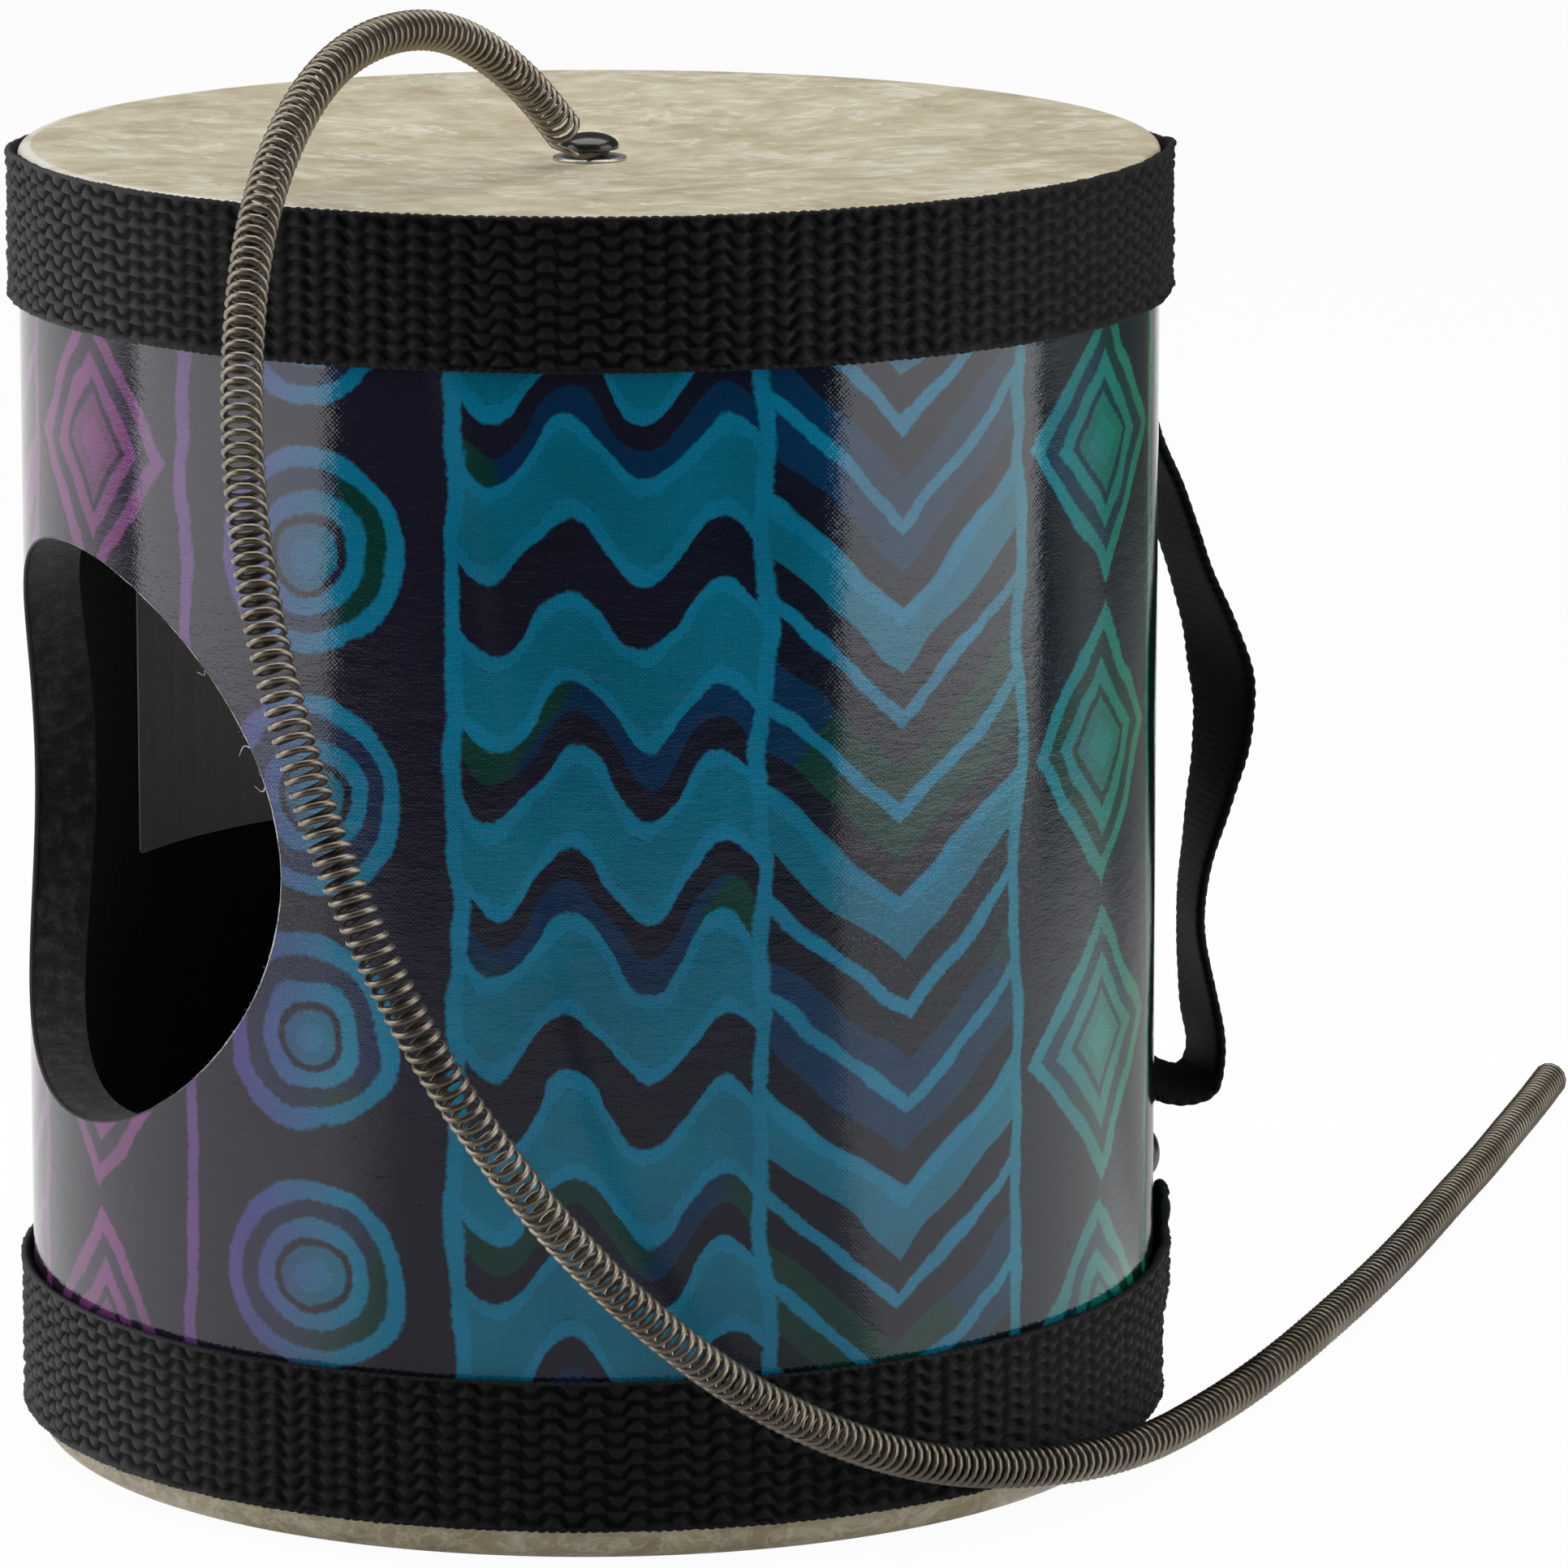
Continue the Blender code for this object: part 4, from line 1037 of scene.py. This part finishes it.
def make_spring():
    """One wire: an eye round the screw, a short lead, and a left-handed coil of changing pitch.
    The eye, the lead and faces that look into the coil have a darker steel: painted shade inside
    the coil and under the screw's head."""
    line, length = smooth_curve(SPRING_ROUTE, ROUTE_POINTS)
    place, pitch = np.array(SPRING_PITCH).T
    along = np.linspace(0, length, len(line))
    turns = np.concatenate([[0], np.cumsum(np.diff(along) / np.interp(along[1:], place, pitch))])
    count = int(turns[-1] * CURL_POINTS)
    where = np.interp(np.arange(count + 1) / CURL_POINTS, turns, along)

    def at(values):
        return np.stack([np.interp(where, along, column) for column in values.T], axis=1)

    middle = at(line)
    across, over = carried(line, (0, 0, -1))
    angle = (-2 * math.pi * np.arange(count + 1) / CURL_POINTS - math.pi / 2)[:, None]
    coil = middle + COIL_RADIUS * (np.cos(angle) * at(across) + np.sin(angle) * at(over))

    leave = math.radians(SPRING_AZIMUTH)
    bend = np.radians(np.arange(270, -1, -15)) + leave
    level = np.full(len(bend), EYE_LEVEL)
    eye = np.stack([EYE_RADIUS * np.cos(bend), EYE_RADIUS * np.sin(bend), level], axis=1)
    heading = np.array((math.sin(leave), -math.cos(leave), 0))
    clear = eye[-1] + heading * LEAD_CLEAR
    into = unit(coil[1] - coil[0])
    corners = (clear, clear + heading * LEAD_PULL, coil[0] - into * LEAD_PULL, coil[0])
    t = np.linspace(0, 1, LEAD_POINTS + 2)[1:-1, None]
    weights = ((1 - t) ** 3, 3 * t * (1 - t) ** 2, 3 * t**2 * (1 - t), t**3)
    lead = sum(weight * corner for weight, corner in zip(weights, corners))
    end = coil[-1] + unit(coil[-1] - coil[-2]) * 2 * WIRE_RADIUS
    straight = [eye[-1] + heading * LEAD_MIDDLE, clear]
    wire = np.concatenate([eye, straight, lead, coil, [end]])

    # The eye's wire is as in the CAD, and the lead thickens to the coil's
    first = len(eye) + len(straight)
    thick = np.full(len(wire), COIL_WIRE)
    thick[:first] = WIRE_RADIUS
    thick[first : first + LEAD_POINTS] = np.linspace(WIRE_RADIUS, COIL_WIRE, LEAD_POINTS)
    points, faces = tube(wire, thick, WIRE_SIDES)
    spring = add_piece("spring_wire", points, faces, STEEL, "spring_steel", "spring", sharp=60)
    spring.data.materials.append(SHADED_STEEL)
    # Painted shade: faces that look into the coil, the eye and the start of the lead take the
    # darker steel
    inward = np.zeros_like(wire)
    inward[first + LEAD_POINTS : -1] = (middle - coil) / COIL_RADIUS
    ring = points.reshape(len(wire), WIRE_SIDES, 3)
    facing = ((ring - wire[:, None]) / COIL_WIRE * inward[:, None]).sum(axis=2)
    inside = (facing + np.roll(facing, -1, axis=1))[:-1] / 2 > 0.25
    inside[: len(eye) + SHADED_LEAD] = True
    ends = [0] * (len(faces) - inside.size)
    spring.data.polygons.foreach_set("material_index", [*inside.ravel().astype(int), *ends])
    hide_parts("spring")


def add_to_stage(name, data, place, turn):
    item = bpy.data.objects.new(name, data)
    bpy.context.scene.collection.objects.link(item)
    item.location = place
    item.rotation_euler = turn
    return item


def area_lamp(name, place, target, size, watts):
    """A white rectangular lamp that points at a target and isn't seen itself."""
    lamp = bpy.data.lights.new(name, "AREA")
    lamp.shape = "RECTANGLE"
    lamp.size, lamp.size_y = size
    lamp.energy = watts
    aim = np.array(target) - np.array(place)
    tilt, pan = math.atan2(math.hypot(aim[0], aim[1]), -aim[2]), math.atan2(-aim[0], aim[1])
    item = add_to_stage(name, lamp, place, (tilt, 0, pan))
    item.visible_camera = False


def make_floor():
    """A plain pale floor: white to the camera but for a faint shadow, and a lit table with dim
    patches in reflections."""
    size = 6.0
    mesh = bpy.data.meshes.new("floor")
    corners = [(-size, -size, 0), (size, -size, 0), (size, size, 0), (-size, size, 0)]
    mesh.from_pydata(corners, [], [(0, 1, 2, 3)])
    floor = add_to_stage("floor", mesh, (0, 0, -0.0002), (0, 0, 0))
    g = Graph("pale_floor")
    g.tree.nodes.remove(g.shader)
    path = g.add("ShaderNodeLightPath")
    camera = Num(g, path.outputs["Is Camera Ray"])
    glossy = Num(g, path.outputs["Is Glossy Ray"])
    other = (1.0 - camera - glossy).most(0.0)

    # Turns are in radians from the front to the right, and reach is in millimetres
    x, y, _ = g.place()
    turn = g.azimuth(x, y)
    reach = hypot(x, y)
    sides = turn.ramp(-0.56, -0.87).most(turn.ramp(0.76, 0.84))
    table = reach.ramp(760.0, 430.0) * (0.34 + sides * 0.66)
    seen = table.most(y.ramp(100.0, 450.0) * 0.95)
    flag = turn.ramp(1.90, 2.20) * turn.ramp(2.76, 2.56)
    seen = seen * (1.0 - flag * (0.50 + reach.ramp(300.0, 600.0) * 0.27))
    far_flag = turn.ramp(1.72, 1.92) * turn.ramp(2.90, 2.70) * reach.ramp(780.0, 880.0)
    seen = seen * (1.0 - far_flag * 0.6)
    matte = g.add("ShaderNodeBsdfDiffuse")
    g.put(matte.inputs["Color"], g.mix(glossy, (0.86, 0.86, 0.86), (0.02, 0.02, 0.02)))
    blend = g.add("ShaderNodeMixShader")
    # The floor glows: white to the camera, the lit table in reflections, and a faint glow for other
    # rays that lights the drum from below
    g.put(blend.inputs[0], camera * 0.955 + glossy * seen + other * 0.11)
    g.put(blend.inputs[1], matte.outputs[0])
    g.put(blend.inputs[2], g.add("ShaderNodeEmission").outputs[0])
    g.put(g.tree.nodes["Material Output"].inputs["Surface"], blend.outputs[0])
    g.material.cycles.emission_sampling = "NONE"
    mesh.materials.append(g.material)


def make_light():
    """A world that is white to the camera and dim in reflections, and three softboxes."""
    soft, dim, white = 0.30, 0.06, 1.0
    world = bpy.data.worlds.new("studio")
    bpy.context.scene.world = world
    world.use_nodes = True
    tree = world.node_tree
    background = tree.nodes["Background"]
    background.inputs["Color"].default_value = (1, 1, 1, 1)
    path = tree.nodes.new("ShaderNodeLightPath")
    level = None
    for name, strength in (("Is Glossy Ray", dim), ("Is Camera Ray", white)):
        mix = tree.nodes.new("ShaderNodeMix")
        mix.inputs["A"].default_value = soft
        mix.inputs["B"].default_value = strength
        tree.links.new(path.outputs[name], mix.inputs["Factor"])
        if level is not None:
            tree.links.new(level, mix.inputs["A"])
        level = mix.outputs["Result"]
    tree.links.new(level, background.inputs["Strength"])

    away, high, watts = 0.55, 0.32, 1.75
    for name, azimuth, wide in (("left_softbox", -73, 0.48), ("right_softbox", 71, 0.49)):
        area_lamp(name, azimuth_point(away, azimuth, high), (0, 0, high), (wide, 0.60), watts)
    area_lamp("top_softbox", (0.0, 0.15, 1.1), (0, 0, 0.2), (1.2, 0.9), 7.8)


def make_camera():
    camera = bpy.data.cameras.new("camera")
    camera.sensor_width = SENSOR
    camera.lens = SENSOR * PHOTO_FOCAL / PHOTO_WIDE
    camera.clip_end = 30.0
    bpy.context.scene.camera = add_to_stage("camera", camera, CAMERA_PLACE, CAMERA_TURN)


hole_rim = make_cover()
make_tube()
make_cut_edge(hole_rim)
make_heads()
make_band("top", 3)
make_band("bottom", 4)
make_strap()
make_fasteners()
make_spring()
make_floor()
make_light()
make_camera()
bpy.context.scene.view_settings.view_transform = "Standard"
